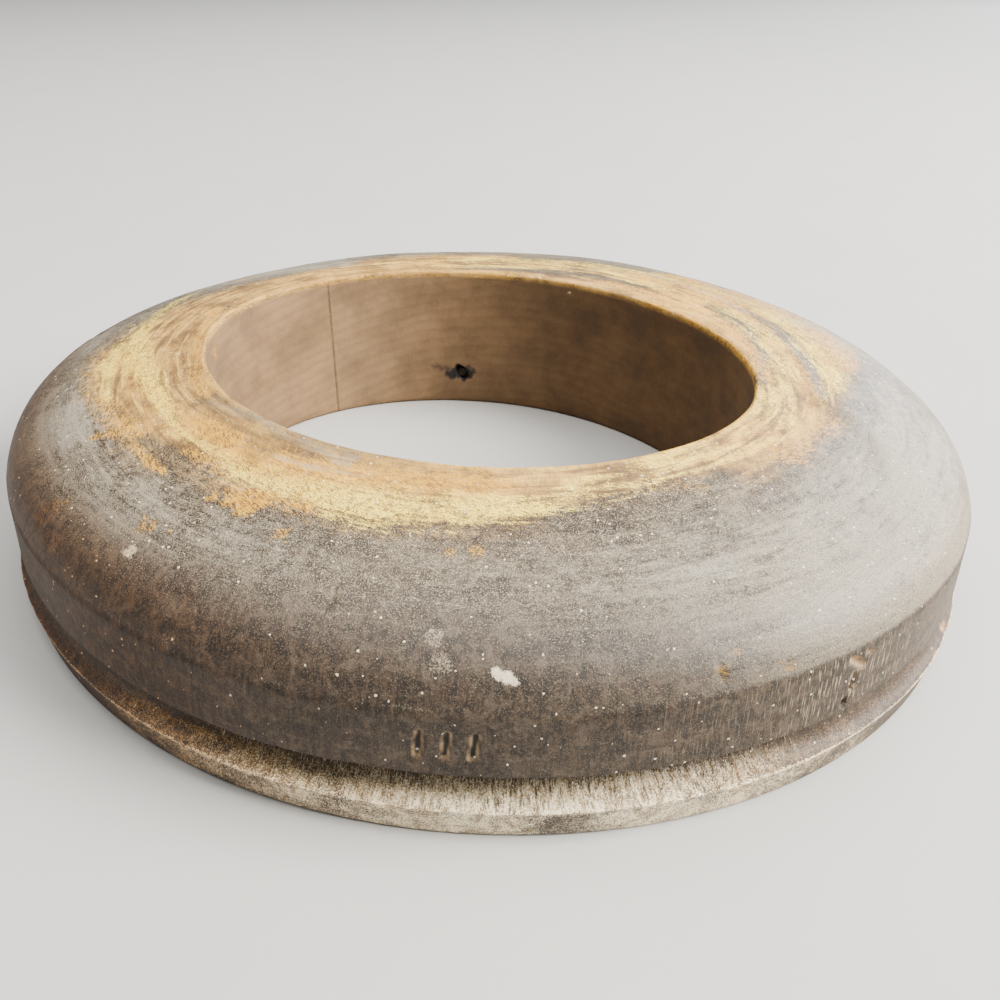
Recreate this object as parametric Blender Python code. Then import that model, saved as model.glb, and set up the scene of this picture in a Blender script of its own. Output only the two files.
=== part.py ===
"""Hat block: an oval brim block, glued up from three planks and then shaped.

The block lies flat. Its convex top falls away from the head opening to a soft shoulder. Below the
shoulder an upright band ends in the groove for the blocking cord, and a thin rim flares out under it.
The frame is the blank's: +X across the planks, +Y along their grain, +Z up. The origin is under the
middle of the block, on the surface that it stands on.
"""

import math

import bmesh
import bpy
import numpy as np
from mathutils import Matrix, Vector

MM = 0.001

# Head opening: a size 7 oval, 559 mm round
OPENING_HALF_LENGTH = 97.7 * MM
OPENING_HALF_BREADTH = 80.1 * MM
OPENING_TURN = math.radians(-21.9)
OVAL_FULLNESS = 1.95

# Brim width from the opening out to the foot of the band, at the oval's ends and at its sides
BRIM_AT_ENDS = 66.5 * MM
BRIM_AT_SIDES = 76.2 * MM
BRIM_LONGER_AT_ONE_END = 4.7 * MM
BRIM_LONGER_AT_ONE_SIDE = 1.1 * MM
OUTLINE_EGG = 1.6 * MM

# Convex top, from the opening's edge to the shoulder above the band
TOP_HEIGHT = 61.5 * MM
TOP_SLOPE = 0.14
SHOULDER_HEIGHT = 39.1 * MM
SHOULDER_SLOPE = 3.0
SHOULDER_INSET = 1.1 * MM
SHOULDER_FULLNESS = 2.26
EDGE_EASE = 1.4 * MM
EDGE_EASE_TURN = math.radians(45)
FOOT_CHAMFER = 1.5 * MM

# Cord groove, cut deep where the grain runs out and shallow along the sides. A cubic curve reaches
# CURVE_REACH of the way to its two middle control points
GROOVE_TOP = 20.5 * MM
GROOVE_DEPTH_AT_GRAIN_ENDS = 7.6 * MM
GROOVE_DEPTH_AT_SIDES = 2.8 * MM
GROOVE_UNDERCUT = 1.4 * MM
GROOVE_FLOOR_RISE = 0.9 * MM
CURVE_REACH = 0.75
GRAIN_END_FROM = 0.80
GRAIN_END_FULL = 0.96

# Rim below the groove, leaning out to its top edge
RIM_HEIGHT = 9.8 * MM
RIM_OVERHANG = 1.7 * MM
RIM_EDGE_EASE = 0.8 * MM

# Planks and their glue joints, which run straight from front to back
JOINT_X = 66.0 * MM
GLUE_GAP = 0.3 * MM
BLANK_REACH = 200.0 * MM
BLANK_MARGIN = 10.0 * MM

# Broken nail in the back wall of the opening
NAIL_X = -11.0 * MM
NAIL_HEIGHT = 14.3 * MM
NAIL_RADIUS = 2.0 * MM
NAIL_LENGTH = 21.0 * MM
NAIL_RECESS = 1.2 * MM
NAIL_CLEARANCE = 0.35 * MM
NAIL_SIDES = 12
NAIL_BREAK = 0.5 * MM

# Fineness of the faceted surfaces, and of the curves that only measure
SECTIONS = 104
TOP_POINTS = 13
GROOVE_POINTS = 9
SHARP_ANGLE = math.radians(32)
FINE_CURVE = 400
FINE_OUTLINE = 7200

WOOD = {"roughness": 0.8, "metallic": 0.0}
COLOURS = {
    "left_plank": (0.21, 0.15, 0.105, 1.0),
    "middle_front_block": (0.19, 0.155, 0.13, 1.0),
    "middle_rear_block": (0.30, 0.21, 0.13, 1.0),
    "right_plank": (0.22, 0.175, 0.14, 1.0),
    "nail_stub": (0.035, 0.03, 0.028, 1.0),
}


def clear_scene():
    """Removes whatever the scene holds before the block is built."""
    for item in list(bpy.data.objects):
        bpy.data.objects.remove(item, do_unlink=True)


def oval(angles, half_length, half_breadth, egg=0.0):
    """Points of a slightly full oval in its own axes, one row for each angle."""
    power = 2.0 / OVAL_FULLNESS
    cosine = np.cos(angles)
    sine = np.sin(angles)
    along = half_length * np.sign(cosine) * np.abs(cosine) ** power
    across = half_breadth * np.sign(sine) * np.abs(sine) ** power
    bulge = -egg * np.sin(3.0 * angles)
    return np.column_stack([along + bulge * cosine, across + bulge * sine])


def turned(points):
    """Turns points from the oval's axes to the planks' axes."""
    c = math.cos(OPENING_TURN)
    s = math.sin(OPENING_TURN)
    return points @ np.array([[c, s], [-s, c]])


def loop_about_opening(angles, share, outward=0.0):
    """A level loop: share 0 is the opening, 1 is the foot of the band, and outward grows it evenly."""
    half_length = OPENING_HALF_LENGTH + share * BRIM_AT_ENDS + outward
    half_breadth = OPENING_HALF_BREADTH + share * BRIM_AT_SIDES + outward
    shift = np.array([BRIM_LONGER_AT_ONE_END, BRIM_LONGER_AT_ONE_SIDE]) * share
    return turned(oval(angles, half_length, half_breadth, OUTLINE_EGG * share) + shift)


def block_centre():
    """Middle of the rim's outline, measured from the middle of the opening."""
    fine = np.linspace(0.0, math.tau, FINE_OUTLINE, endpoint=False)
    rim = loop_about_opening(fine, 1.0, RIM_OVERHANG)
    return 0.5 * (rim.min(axis=0) + rim.max(axis=0))


def loop(angles, share, outward=0.0):
    """A level loop in the block's own frame."""
    return loop_about_opening(angles, share, outward) - block_centre()


def top_section():
    """Shares and heights from the opening's edge to the shoulder: a conic between two tangents."""
    end_share = 1.0 - SHOULDER_INSET / BRIM_AT_ENDS
    end = end_share * BRIM_AT_ENDS
    meet = (SHOULDER_HEIGHT + SHOULDER_SLOPE * end - TOP_HEIGHT) / (SHOULDER_SLOPE - TOP_SLOPE)
    meet_height = TOP_HEIGHT - TOP_SLOPE * meet
    u = np.linspace(0.0, 1.0, FINE_CURVE)
    first = (1.0 - u) ** 2
    middle = 2.0 * SHOULDER_FULLNESS * u * (1.0 - u)
    last = u ** 2
    total = first + middle + last
    out = (middle * meet + last * end) / total
    height = (first * TOP_HEIGHT + middle * meet_height + last * SHOULDER_HEIGHT) / total
    run = np.hypot(np.diff(out), np.diff(height))
    turn = np.abs(np.diff(np.unwrap(np.arctan2(np.gradient(height), np.gradient(out)))))
    progress = np.concatenate([[0.0], np.cumsum(run / run.sum() + turn / turn.sum())])
    at = np.interp(np.linspace(0.0, progress[-1], TOP_POINTS), progress, np.arange(len(u)))
    share = np.interp(at, np.arange(len(u)), out) / BRIM_AT_ENDS
    return share, np.interp(at, np.arange(len(u)), height)


def grain_end(angles):
    """1 where the band faces along the grain, at the front and back, and 0 along the sides."""
    rim = loop(angles, 1.0)
    facing = np.abs(rim[:, 1]) / np.hypot(rim[:, 0], rim[:, 1])
    t = np.clip((facing - GRAIN_END_FROM) / (GRAIN_END_FULL - GRAIN_END_FROM), 0.0, 1.0)
    return t * t * (3.0 - 2.0 * t)


def groove_rings(angles):
    """Rings of the cord groove, as one smooth curve from the band's foot to the rim's top edge."""
    end = grain_end(angles)
    depth = GROOVE_DEPTH_AT_SIDES + (GROOVE_DEPTH_AT_GRAIN_ENDS - GROOVE_DEPTH_AT_SIDES) * end
    reach = depth / CURVE_REACH
    undercut = GROOVE_TOP + GROOVE_UNDERCUT * end
    floor = RIM_HEIGHT + GROOVE_FLOOR_RISE
    rings = []
    for u in np.linspace(0.0, 1.0, GROOVE_POINTS + 2)[1:-1]:
        weights = ((1 - u) ** 3, 3 * u * (1 - u) ** 2, 3 * u * u * (1 - u), u ** 3)
        out = -(weights[1] + weights[2]) * reach + weights[3] * RIM_OVERHANG
        height = weights[0] * GROOVE_TOP + weights[1] * undercut + weights[2] * floor
        height = height + weights[3] * RIM_HEIGHT
        rings.append(ring_of(angles, 1.0, out, height))
    return rings


def ring_of(angles, share, outward, height):
    """Points of one ring all the way round, where outward and height may change with the angle."""
    flat = loop(angles, share, outward)
    heights = np.broadcast_to(height, (len(angles),))
    return [Vector((x, y, z)) for (x, y), z in zip(flat, heights)]


def block_rings(angles):
    """Every ring of the section in order: bore, convex top, band, groove, rim and underside."""
    rings = [
        ring_of(angles, 0.0, FOOT_CHAMFER, 0.0),
        ring_of(angles, 0.0, 0.0, FOOT_CHAMFER),
        ring_of(angles, 0.0, 0.0, TOP_HEIGHT - EDGE_EASE),
    ]
    ease_out = EDGE_EASE * (1.0 - math.cos(EDGE_EASE_TURN))
    ease_height = TOP_HEIGHT - EDGE_EASE * (1.0 - math.sin(EDGE_EASE_TURN)) - TOP_SLOPE * ease_out
    rings.append(ring_of(angles, 0.0, ease_out, ease_height))
    shares, heights = top_section()
    ease_share = EDGE_EASE / BRIM_AT_ENDS
    rings.append(ring_of(angles, ease_share, 0.0, TOP_HEIGHT - TOP_SLOPE * EDGE_EASE))
    for share, height in zip(shares[1:], heights[1:]):
        rings.append(ring_of(angles, share, 0.0, height))
    middle_height = 0.5 * (SHOULDER_HEIGHT + GROOVE_TOP)
    rings.append(ring_of(angles, 1.0, -0.5 * SHOULDER_INSET, middle_height))
    rings.append(ring_of(angles, 1.0, 0.0, GROOVE_TOP))
    rings.extend(groove_rings(angles))
    rings.append(ring_of(angles, 1.0, RIM_OVERHANG, RIM_HEIGHT))
    lean = RIM_OVERHANG * RIM_EDGE_EASE / RIM_HEIGHT
    rings.append(ring_of(angles, 1.0, lean, RIM_EDGE_EASE))
    rings.append(ring_of(angles, 1.0, -RIM_EDGE_EASE, 0.0))
    return rings


def shaped_blank():
    """Lofts the rings into the closed, one-piece form of the block, before it is cut into planks."""
    angles = np.linspace(0.0, math.tau, SECTIONS, endpoint=False)
    mesh = bpy.data.meshes.new("shaped_blank")
    bm = bmesh.new()
    rings = [[bm.verts.new(point) for point in ring] for ring in block_rings(angles)]
    for near, far in zip(rings, rings[1:] + rings[:1]):
        for i in range(SECTIONS):
            j = (i + 1) % SECTIONS
            bm.faces.new((near[i], near[j], far[j], far[i]))
    bmesh.ops.recalc_face_normals(bm, faces=bm.faces)
    bm.to_mesh(mesh)
    bm.free()
    mesh.shade_smooth()
    mesh.set_sharp_from_angle(angle=SHARP_ANGLE)
    return mesh


def material_for(name, roughness, metallic):
    """The piece's own material, in the colour that it has in the photograph."""
    material = bpy.data.materials.new(name)
    material.use_nodes = True
    shader = material.node_tree.nodes["Principled BSDF"]
    shader.inputs["Base Color"].default_value = COLOURS[name]
    shader.inputs["Roughness"].default_value = roughness
    shader.inputs["Metallic"].default_value = metallic
    return material


def add_object(name, mesh):
    """Links a new object that carries the mesh."""
    item = bpy.data.objects.new(name, mesh)
    bpy.context.scene.collection.objects.link(item)
    return item


def hidden_cutter(name, mesh):
    """A tool that only cuts: it isn't part of the block."""
    cutter = add_object(name, mesh)
    cutter.hide_render = True
    cutter.display_type = "WIRE"
    return cutter


def box_cutter(name, low, high):
    """A box between two corners, the stock that one plank is cut from."""
    mesh = bpy.data.meshes.new(name)
    bm = bmesh.new()
    bmesh.ops.create_cube(bm, size=1.0)
    size = Vector(high) - Vector(low)
    centre = (Vector(high) + Vector(low)) / 2
    bmesh.ops.scale(bm, vec=size, verts=bm.verts)
    bmesh.ops.translate(bm, vec=centre, verts=bm.verts)
    bm.to_mesh(mesh)
    bm.free()
    return hidden_cutter(name, mesh)


def cut(item, cutter, operation):
    """Adds an exact Boolean to the object."""
    modifier = item.modifiers.new(cutter.name, "BOOLEAN")
    modifier.operation = operation
    modifier.solver = "EXACT"
    modifier.object = cutter


def add_plank(name, blank, low_x, high_x, low_y, high_y):
    """One plank: the part of the shaped blank that lies inside its own stock."""
    plank = add_object(name, blank.copy())
    plank.data.materials.append(material_for(name, **WOOD))
    low = (low_x, low_y, -BLANK_MARGIN)
    high = (high_x, high_y, TOP_HEIGHT + BLANK_MARGIN)
    cut(plank, box_cutter(name + "_stock", low, high), "INTERSECT")
    return plank


def bore_wall_at(x):
    """The point on the opening's back wall at this x, and the level direction into the wood there."""
    fine = np.linspace(0.0, math.tau, FINE_OUTLINE, endpoint=False)
    wall = loop(fine, 0.0)
    back = wall[:, 1] > wall[:, 1].mean()
    index = int(np.argmin(np.where(back, np.abs(wall[:, 0] - x), np.inf)))
    along = wall[(index + 1) % len(wall)] - wall[index - 1]
    inward = Vector((along[1], -along[0], 0.0)).normalized()
    return Vector((wall[index][0], wall[index][1], NAIL_HEIGHT)), inward


def rod_mesh(name, radius, start, length, ragged=0.0):
    """A straight rod with its axis on +Z, whose near end may be broken unevenly."""
    mesh = bpy.data.meshes.new(name)
    bm = bmesh.new()
    near = []
    far = []
    for i in range(NAIL_SIDES):
        angle = math.tau * i / NAIL_SIDES
        x = radius * math.cos(angle)
        y = radius * math.sin(angle)
        step = ragged * (math.sin(2.0 * angle) + 0.6 * math.cos(5.0 * angle))
        near.append(bm.verts.new((x, y, start + step)))
        far.append(bm.verts.new((x, y, start + length)))
    heart = bm.verts.new((0.0, 0.0, start - ragged))
    for i in range(NAIL_SIDES):
        j = (i + 1) % NAIL_SIDES
        bm.faces.new((near[i], near[j], far[j], far[i]))
        bm.faces.new((heart, near[j], near[i]))
    bm.faces.new(far)
    bmesh.ops.recalc_face_normals(bm, faces=bm.faces)
    bm.to_mesh(mesh)
    bm.free()
    return mesh


def add_nail(block):
    """Bores the nail's hole into the block and seats the broken nail in it."""
    mouth, inward = bore_wall_at(NAIL_X)
    turn = inward.to_track_quat("Z", "Y").to_matrix().to_4x4()
    seat = Matrix.Translation(mouth) @ turn
    hole_length = BLANK_MARGIN + NAIL_RECESS + NAIL_LENGTH + NAIL_CLEARANCE
    hole = rod_mesh("nail_hole", NAIL_RADIUS + NAIL_CLEARANCE, -BLANK_MARGIN, hole_length)
    hole.transform(seat)
    cut(block, hidden_cutter("nail_hole", hole), "DIFFERENCE")
    nail = rod_mesh("nail_stub", NAIL_RADIUS, NAIL_RECESS, NAIL_LENGTH, NAIL_BREAK)
    nail.transform(seat)
    nail.shade_smooth()
    nail.set_sharp_from_angle(angle=SHARP_ANGLE)
    nail.materials.append(material_for("nail_stub", roughness=0.7, metallic=0.6))
    add_object("nail_stub", nail)


def build():
    """Shapes the blank, parts it at the glue joints and seats the nail."""
    clear_scene()
    blank = shaped_blank()
    outer = BLANK_REACH
    inner = JOINT_X - 0.5 * GLUE_GAP
    beyond = JOINT_X + 0.5 * GLUE_GAP
    add_plank("left_plank", blank, -outer, -beyond, -outer, outer)
    add_plank("middle_front_block", blank, -inner, inner, -outer, 0.0)
    rear = add_plank("middle_rear_block", blank, -inner, inner, 0.0, outer)
    add_plank("right_plank", blank, beyond, outer, -outer, outer)
    bpy.data.meshes.remove(blank)
    add_nail(rear)
    centre = block_centre()
    print("opening's middle from the block's middle (mm):", np.round(-centre / MM, 2))


build()
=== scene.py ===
# %% [markdown]
# # A worn wooden brim block
# The block is a thick oval ring of wood, glued up from boards and then shaped. A hat maker pulls damp
# felt over it, ties it down with a cord in the groove, and irons the brim to its curve. This lesson
# dresses the bare solids of the block: it makes each board again with a fine, worn surface, gives the
# wood its colour and wear, and sets it on a pale floor. The solids come first, as the frame that every
# piece must fit.

# %% Load the frame
import math

import bmesh
import bpy
import numpy as np
from mathutils import Matrix, Vector


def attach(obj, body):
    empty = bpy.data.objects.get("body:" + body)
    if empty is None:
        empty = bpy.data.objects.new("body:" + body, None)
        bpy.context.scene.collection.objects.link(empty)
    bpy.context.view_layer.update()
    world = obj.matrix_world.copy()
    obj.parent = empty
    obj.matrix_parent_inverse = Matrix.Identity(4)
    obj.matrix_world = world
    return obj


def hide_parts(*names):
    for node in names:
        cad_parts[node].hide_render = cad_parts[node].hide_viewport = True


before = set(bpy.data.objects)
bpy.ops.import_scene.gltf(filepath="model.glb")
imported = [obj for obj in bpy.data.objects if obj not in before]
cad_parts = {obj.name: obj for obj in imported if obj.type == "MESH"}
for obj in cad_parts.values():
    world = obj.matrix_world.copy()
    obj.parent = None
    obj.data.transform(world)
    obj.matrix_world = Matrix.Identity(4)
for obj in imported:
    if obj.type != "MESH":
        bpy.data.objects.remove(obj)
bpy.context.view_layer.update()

MM = 0.001
print("solids:", sorted(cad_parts))

# %% [markdown]
# ## The sizes that the shape follows
# The same named sizes drive the solids, so a surface made from them falls exactly on the solids. The
# oval's long axis lies askew on the boards. Everything is in metres, in the frame of the block: +X
# across the boards, +Y along their grain, +Z up.

# %% Driving sizes
OPENING_HALF_LENGTH = 97.7 * MM
OPENING_HALF_BREADTH = 80.1 * MM
OPENING_TURN = math.radians(-21.9)
OVAL_FULLNESS = 1.95
BRIM_AT_ENDS = 66.5 * MM
BRIM_AT_SIDES = 76.2 * MM
BRIM_LONGER_AT_ONE_END = 4.7 * MM
BRIM_LONGER_AT_ONE_SIDE = 1.1 * MM
OUTLINE_EGG = 1.6 * MM

TOP_HEIGHT = 61.5 * MM
TOP_SLOPE = 0.14
SHOULDER_HEIGHT = 39.1 * MM
SHOULDER_SLOPE = 3.0
SHOULDER_INSET = 1.1 * MM
SHOULDER_FULLNESS = 2.26
EDGE_EASE = 1.4 * MM
FOOT_CHAMFER = 1.5 * MM

GROOVE_TOP = 20.5 * MM
GROOVE_DEPTH_AT_GRAIN_ENDS = 7.6 * MM
GROOVE_DEPTH_AT_SIDES = 2.8 * MM
GROOVE_UNDERCUT = 1.4 * MM
GROOVE_FLOOR_RISE = 0.9 * MM
CURVE_REACH = 0.75
GRAIN_END_FROM = 0.80
GRAIN_END_FULL = 0.96

RIM_HEIGHT = 9.8 * MM
RIM_OVERHANG = 1.7 * MM
RIM_EDGE_EASE = 0.8 * MM
JOINT_X = 66.0 * MM
JOINT_HAIRLINE = 0.03 * MM

NAIL_X = -11.0 * MM
NAIL_HEIGHT = 14.3 * MM
print(f"opening {2000 * OPENING_HALF_LENGTH:.0f} x {2000 * OPENING_HALF_BREADTH:.0f} mm")

# %% [markdown]
# ## A small kit for building node trees
# Node trees are long to write out, so a few short helpers keep them readable. `Tree` adds a node and
# sets its sockets, and its maths helpers return the first output, so they read almost like a formula.
# Drawing the trees by hand in Blender's editor would give the same result, but couldn't be re-run.

# %% Node helpers
class Tree:
    """Adds nodes to a tree in the order that they are needed."""

    def __init__(self, tree):
        self.tree = tree

    def feed(self, socket, value):
        """Links another node's output to the socket, or sets its plain value."""
        if isinstance(value, bpy.types.NodeSocket):
            self.tree.links.new(value, socket)
        else:
            socket.default_value = value

    def node(self, kind, settings=None, **sockets):
        """A new node, with its settings, and its sockets set by name."""
        made = self.tree.nodes.new(kind)
        for key, value in (settings or {}).items():
            setattr(made, key, value)
        for key, value in sockets.items():
            self.feed(made.inputs[key.replace("_", " ")], value)
        return made

    def filled(self, made, values):
        """Sets a node's first sockets in their order and returns its first output."""
        for socket, value in zip(made.inputs, values):
            self.feed(socket, value)
        return made.outputs[0]

    def maths(self, operation, *values, clamp=False):
        """One maths node on up to three numbers or outputs."""
        return self.filled(self.node("ShaderNodeMath", {"operation": operation, "use_clamp": clamp}), values)

    def vectors(self, operation, *values):
        """One maths node on up to three vectors or outputs."""
        return self.filled(self.node("ShaderNodeVectorMath", {"operation": operation}), values)

    def add(self, a, b):
        return self.maths("ADD", a, b)

    def times(self, a, b):
        return self.maths("MULTIPLY", a, b)

    def less(self, a, b):
        return self.maths("SUBTRACT", a, b)

    def between(self, value, low, high, to_low=0.0, to_high=1.0):
        """Maps low..high smoothly onto to_low..to_high."""
        made = self.node("ShaderNodeMapRange", {"interpolation_type": "SMOOTHSTEP"})
        return self.filled(made, (value, low, high, to_low, to_high))


def srgb(red, green, blue):
    """A linear colour from the 0 to 255 values that a paint chart gives."""
    def linear(value):
        value = value / 255.0
        return value / 12.92 if value <= 0.04045 else ((value + 0.055) / 1.055) ** 2.4
    return (linear(red), linear(green), linear(blue), 1.0)


# %% [markdown]
# ## Bending a flat moulding round the oval
# The block is one moulding that runs round an oval. A moulding is easiest to make flat, as a long strip
# whose length is the angle and whose height is the height. The ring could be lofted in mesh code, but a
# Geometry Nodes tree holds the bending rule once, with the oval's sizes as named inputs, and any strip
# can be sent through it. In a flat strip X is the angle, Y is how far out a point stands from its loop,
# Z is its height, and the attribute `share` says how far across the brim its loop lies.

# %% The bending tree
def shape_tree(name, inputs):
    """A new Geometry Nodes tree with its named inputs, as the means to fill it and what it is given."""
    tree = bpy.data.node_groups.new(name, "GeometryNodeTree")
    face = tree.interface
    face.new_socket("Geometry", in_out="INPUT", socket_type="NodeSocketGeometry")
    for label, value in inputs.items():
        kind = "NodeSocketInt" if isinstance(value, int) else "NodeSocketFloat"
        face.new_socket(label, in_out="INPUT", socket_type=kind).default_value = value
    face.new_socket("Geometry", in_out="OUTPUT", socket_type="NodeSocketGeometry")
    t = Tree(tree)
    return t, t.node("NodeGroupInput").outputs


def bending_tree():
    """Geometry Nodes that wrap a flat strip round the turned oval."""
    t, given = shape_tree("bend_round_oval", {
        "Opening Half Length": OPENING_HALF_LENGTH, "Opening Half Breadth": OPENING_HALF_BREADTH,
        "Fullness": OVAL_FULLNESS, "Turn": OPENING_TURN,
        "Brim At Ends": BRIM_AT_ENDS, "Brim At Sides": BRIM_AT_SIDES,
        "Longer At One End": BRIM_LONGER_AT_ONE_END, "Longer At One Side": BRIM_LONGER_AT_ONE_SIDE,
        "Egg": OUTLINE_EGG, "Middle X": 0.0, "Middle Y": 0.0,
    })
    flat = t.node("ShaderNodeSeparateXYZ", Vector=t.node("GeometryNodeInputPosition").outputs[0]).outputs
    share = t.node("GeometryNodeInputNamedAttribute", {"data_type": "FLOAT"}, Name="share").outputs[0]
    angle, outward, height = flat

    def along(half, brim, wave):
        """One axis of the oval: the half axis of this loop times the wave, raised for its fullness."""
        reach = t.add(t.add(half, t.times(share, brim)), outward)
        raised = t.maths("POWER", t.maths("ABSOLUTE", wave), t.maths("DIVIDE", 2.0, given["Fullness"]))
        return t.times(reach, t.times(t.maths("SIGN", wave), raised))

    cosine = t.maths("COSINE", angle)
    sine = t.maths("SINE", angle)
    egg = t.times(t.times(given["Egg"], share), t.maths("SINE", t.times(angle, 3.0)))
    x = along(given["Opening Half Length"], given["Brim At Ends"], cosine)
    x = t.add(t.less(x, t.times(egg, cosine)), t.times(share, given["Longer At One End"]))
    y = along(given["Opening Half Breadth"], given["Brim At Sides"], sine)
    y = t.add(t.less(y, t.times(egg, sine)), t.times(share, given["Longer At One Side"]))
    c = t.maths("COSINE", given["Turn"])
    s = t.maths("SINE", given["Turn"])
    turned_x = t.less(t.less(t.times(x, c), t.times(y, s)), given["Middle X"])
    turned_y = t.less(t.add(t.times(x, s), t.times(y, c)), given["Middle Y"])
    place = t.node("ShaderNodeCombineXYZ", X=turned_x, Y=turned_y, Z=height).outputs[0]
    bent = t.node("GeometryNodeSetPosition", Geometry=given["Geometry"], Position=place).outputs[0]
    t.node("NodeGroupOutput", Geometry=bent)
    return t.tree


BEND = bending_tree()
print("bending tree:", len(BEND.nodes), "nodes")

# %% [markdown]
# A strip is a plain grid. Sending it through the tree means hanging the tree on the object as a
# modifier, setting its inputs by their identifiers, and keeping the evaluated result as a new mesh.

# %% Strips, and sending them through a tree
def into_scene(name, data):
    """A new object with its data, linked to the scene."""
    piece = bpy.data.objects.new(name, data)
    bpy.context.scene.collection.objects.link(piece)
    return piece


def store(mesh, name, values):
    """Keeps a number or a vector for each point as an attribute of the mesh."""
    kind, key = ("FLOAT", "value") if values.ndim == 1 else ("FLOAT_VECTOR", "vector")
    mesh.attributes.new(name, kind, "POINT").data.foreach_set(key, values.astype(np.float32).ravel())


def vectors_of(source, key):
    """The vectors that a collection of a mesh's points holds, one row of x, y, z for each point."""
    values = np.empty(len(source) * 3, dtype=np.float32)
    source.foreach_get(key, values)
    return values.reshape(-1, 3)


def strip_mesh(name, angles, outward, height, share, across, closed):
    """A flat grid, one row for each line of the section, with its share and its way across as attributes."""
    rows, columns = outward.shape
    points = np.empty((rows, columns, 3), dtype=np.float32)
    points[..., 0] = angles
    points[..., 1] = outward
    points[..., 2] = height
    first = np.arange(rows if closed else rows - 1)[:, None]
    column = np.arange(columns - 1)[None, :]
    after = (first + 1) % rows
    corners = (first * columns + column, first * columns + column + 1,
               after * columns + column + 1, after * columns + column)
    faces = np.stack([np.broadcast_to(c, (len(first), columns - 1)) for c in corners], axis=-1).reshape(-1, 4)
    mesh = bpy.data.meshes.new(name)
    mesh.vertices.add(rows * columns)
    mesh.vertices.foreach_set("co", points.ravel())
    mesh.loops.add(faces.size)
    mesh.loops.foreach_set("vertex_index", faces.ravel().astype(np.int32))
    mesh.polygons.add(len(faces))
    mesh.polygons.foreach_set("loop_start", np.arange(0, faces.size, 4, dtype=np.int32))
    for label, values in (("share", share), ("across", across), ("angle", angles)):
        store(mesh, label, np.broadcast_to(values, (rows, columns)).ravel())
    mesh.update(calc_edges=True)
    return mesh


def through_tree(mesh, tree, **inputs):
    """The mesh that a Geometry Nodes tree makes of this one, with the named inputs set first."""
    piece = into_scene(mesh.name, mesh)
    modifier = piece.modifiers.new(tree.name, "NODES")
    modifier.node_group = tree
    sockets = {i.name: i.identifier for i in tree.interface.items_tree if i.in_out == "INPUT"}
    for name, value in inputs.items():
        modifier[sockets[name.replace("_", " ")]] = value
    graph = bpy.context.evaluated_depsgraph_get()
    graph.update()
    made = bpy.data.meshes.new_from_object(piece.evaluated_get(graph), depsgraph=graph)
    bpy.data.objects.remove(piece, do_unlink=True)
    return made


def vertex_array(mesh):
    """The mesh's vertices as an array of rows of x, y, z."""
    return vectors_of(mesh.vertices, "co").astype(float)


HOOP_ANGLES = np.linspace(-math.pi, math.pi, 3601)


def hoop(share, outward):
    """The points of a thin level hoop bent round the oval."""
    size = (2, len(HOOP_ANGLES))
    flat = strip_mesh("hoop", HOOP_ANGLES, np.full(size, outward), np.zeros(size), share, 0.0, False)
    return vertex_array(through_tree(flat, BEND))[:len(HOOP_ANGLES), :2]


RIM_HOOP = hoop(1.0, RIM_OVERHANG)
MIDDLE = 0.5 * (RIM_HOOP.min(axis=0) + RIM_HOOP.max(axis=0))
FOOT_HOOP = hoop(1.0, 0.0) - MIDDLE
BORE_HOOP = hoop(0.0, 0.0) - MIDDLE
print("opening's middle from the block's middle (mm):", np.round(-MIDDLE / MM, 2))

# %% [markdown]
# ## The section of the moulding
# The section goes once round: up the bore, over the convex top, down the band, into the cord groove,
# over the rim and back underneath. The top is a conic curve between two tangents, so one number makes it
# fuller or flatter. The groove is a cubic curve that is deep and undercut where the grain runs out of
# the wood and shallow along the sides. The rows lie closest where the surface turns or where a mark goes.

# %% Rows of the section
EDGE_ROWS = 6
TOP_ROWS = 96
BAND_ROWS = 26
GROOVE_ROWS = 30
RIM_ROWS = 14
UNDER_ROWS = 18
# The bore has its closest rows, the middle group, from below the nail's hole to above it.
BORE_LEVELS = (FOOT_CHAMFER, 8.5 * MM, 20.5 * MM, TOP_HEIGHT - EDGE_EASE)
BORE_ROWS = (7, 27, 26)


def top_curve(count):
    """Shares and heights across the convex top, spaced by run and by turn."""
    end = BRIM_AT_ENDS - SHOULDER_INSET
    meet = (SHOULDER_HEIGHT + SHOULDER_SLOPE * end - TOP_HEIGHT) / (SHOULDER_SLOPE - TOP_SLOPE)
    u = np.linspace(0.0, 1.0, 600)
    first = (1.0 - u) ** 2
    middle = 2.0 * SHOULDER_FULLNESS * u * (1.0 - u)
    last = u ** 2
    out = (middle * meet + last * end) / (first + middle + last)
    meet_height = TOP_HEIGHT - TOP_SLOPE * meet
    height = (first * TOP_HEIGHT + middle * meet_height + last * SHOULDER_HEIGHT) / (first + middle + last)
    run = np.hypot(np.diff(out), np.diff(height))
    turn = np.abs(np.diff(np.unwrap(np.arctan2(np.gradient(height), np.gradient(out)))))
    progress = np.concatenate([[0.0], np.cumsum(2.0 * run / run.sum() + turn / turn.sum())])
    at = np.interp(np.linspace(0.0, progress[-1], count), progress, np.arange(len(u)))
    share = np.interp(at, np.arange(len(u)), out) / BRIM_AT_ENDS
    return share, np.interp(at, np.arange(len(u)), height)


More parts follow.
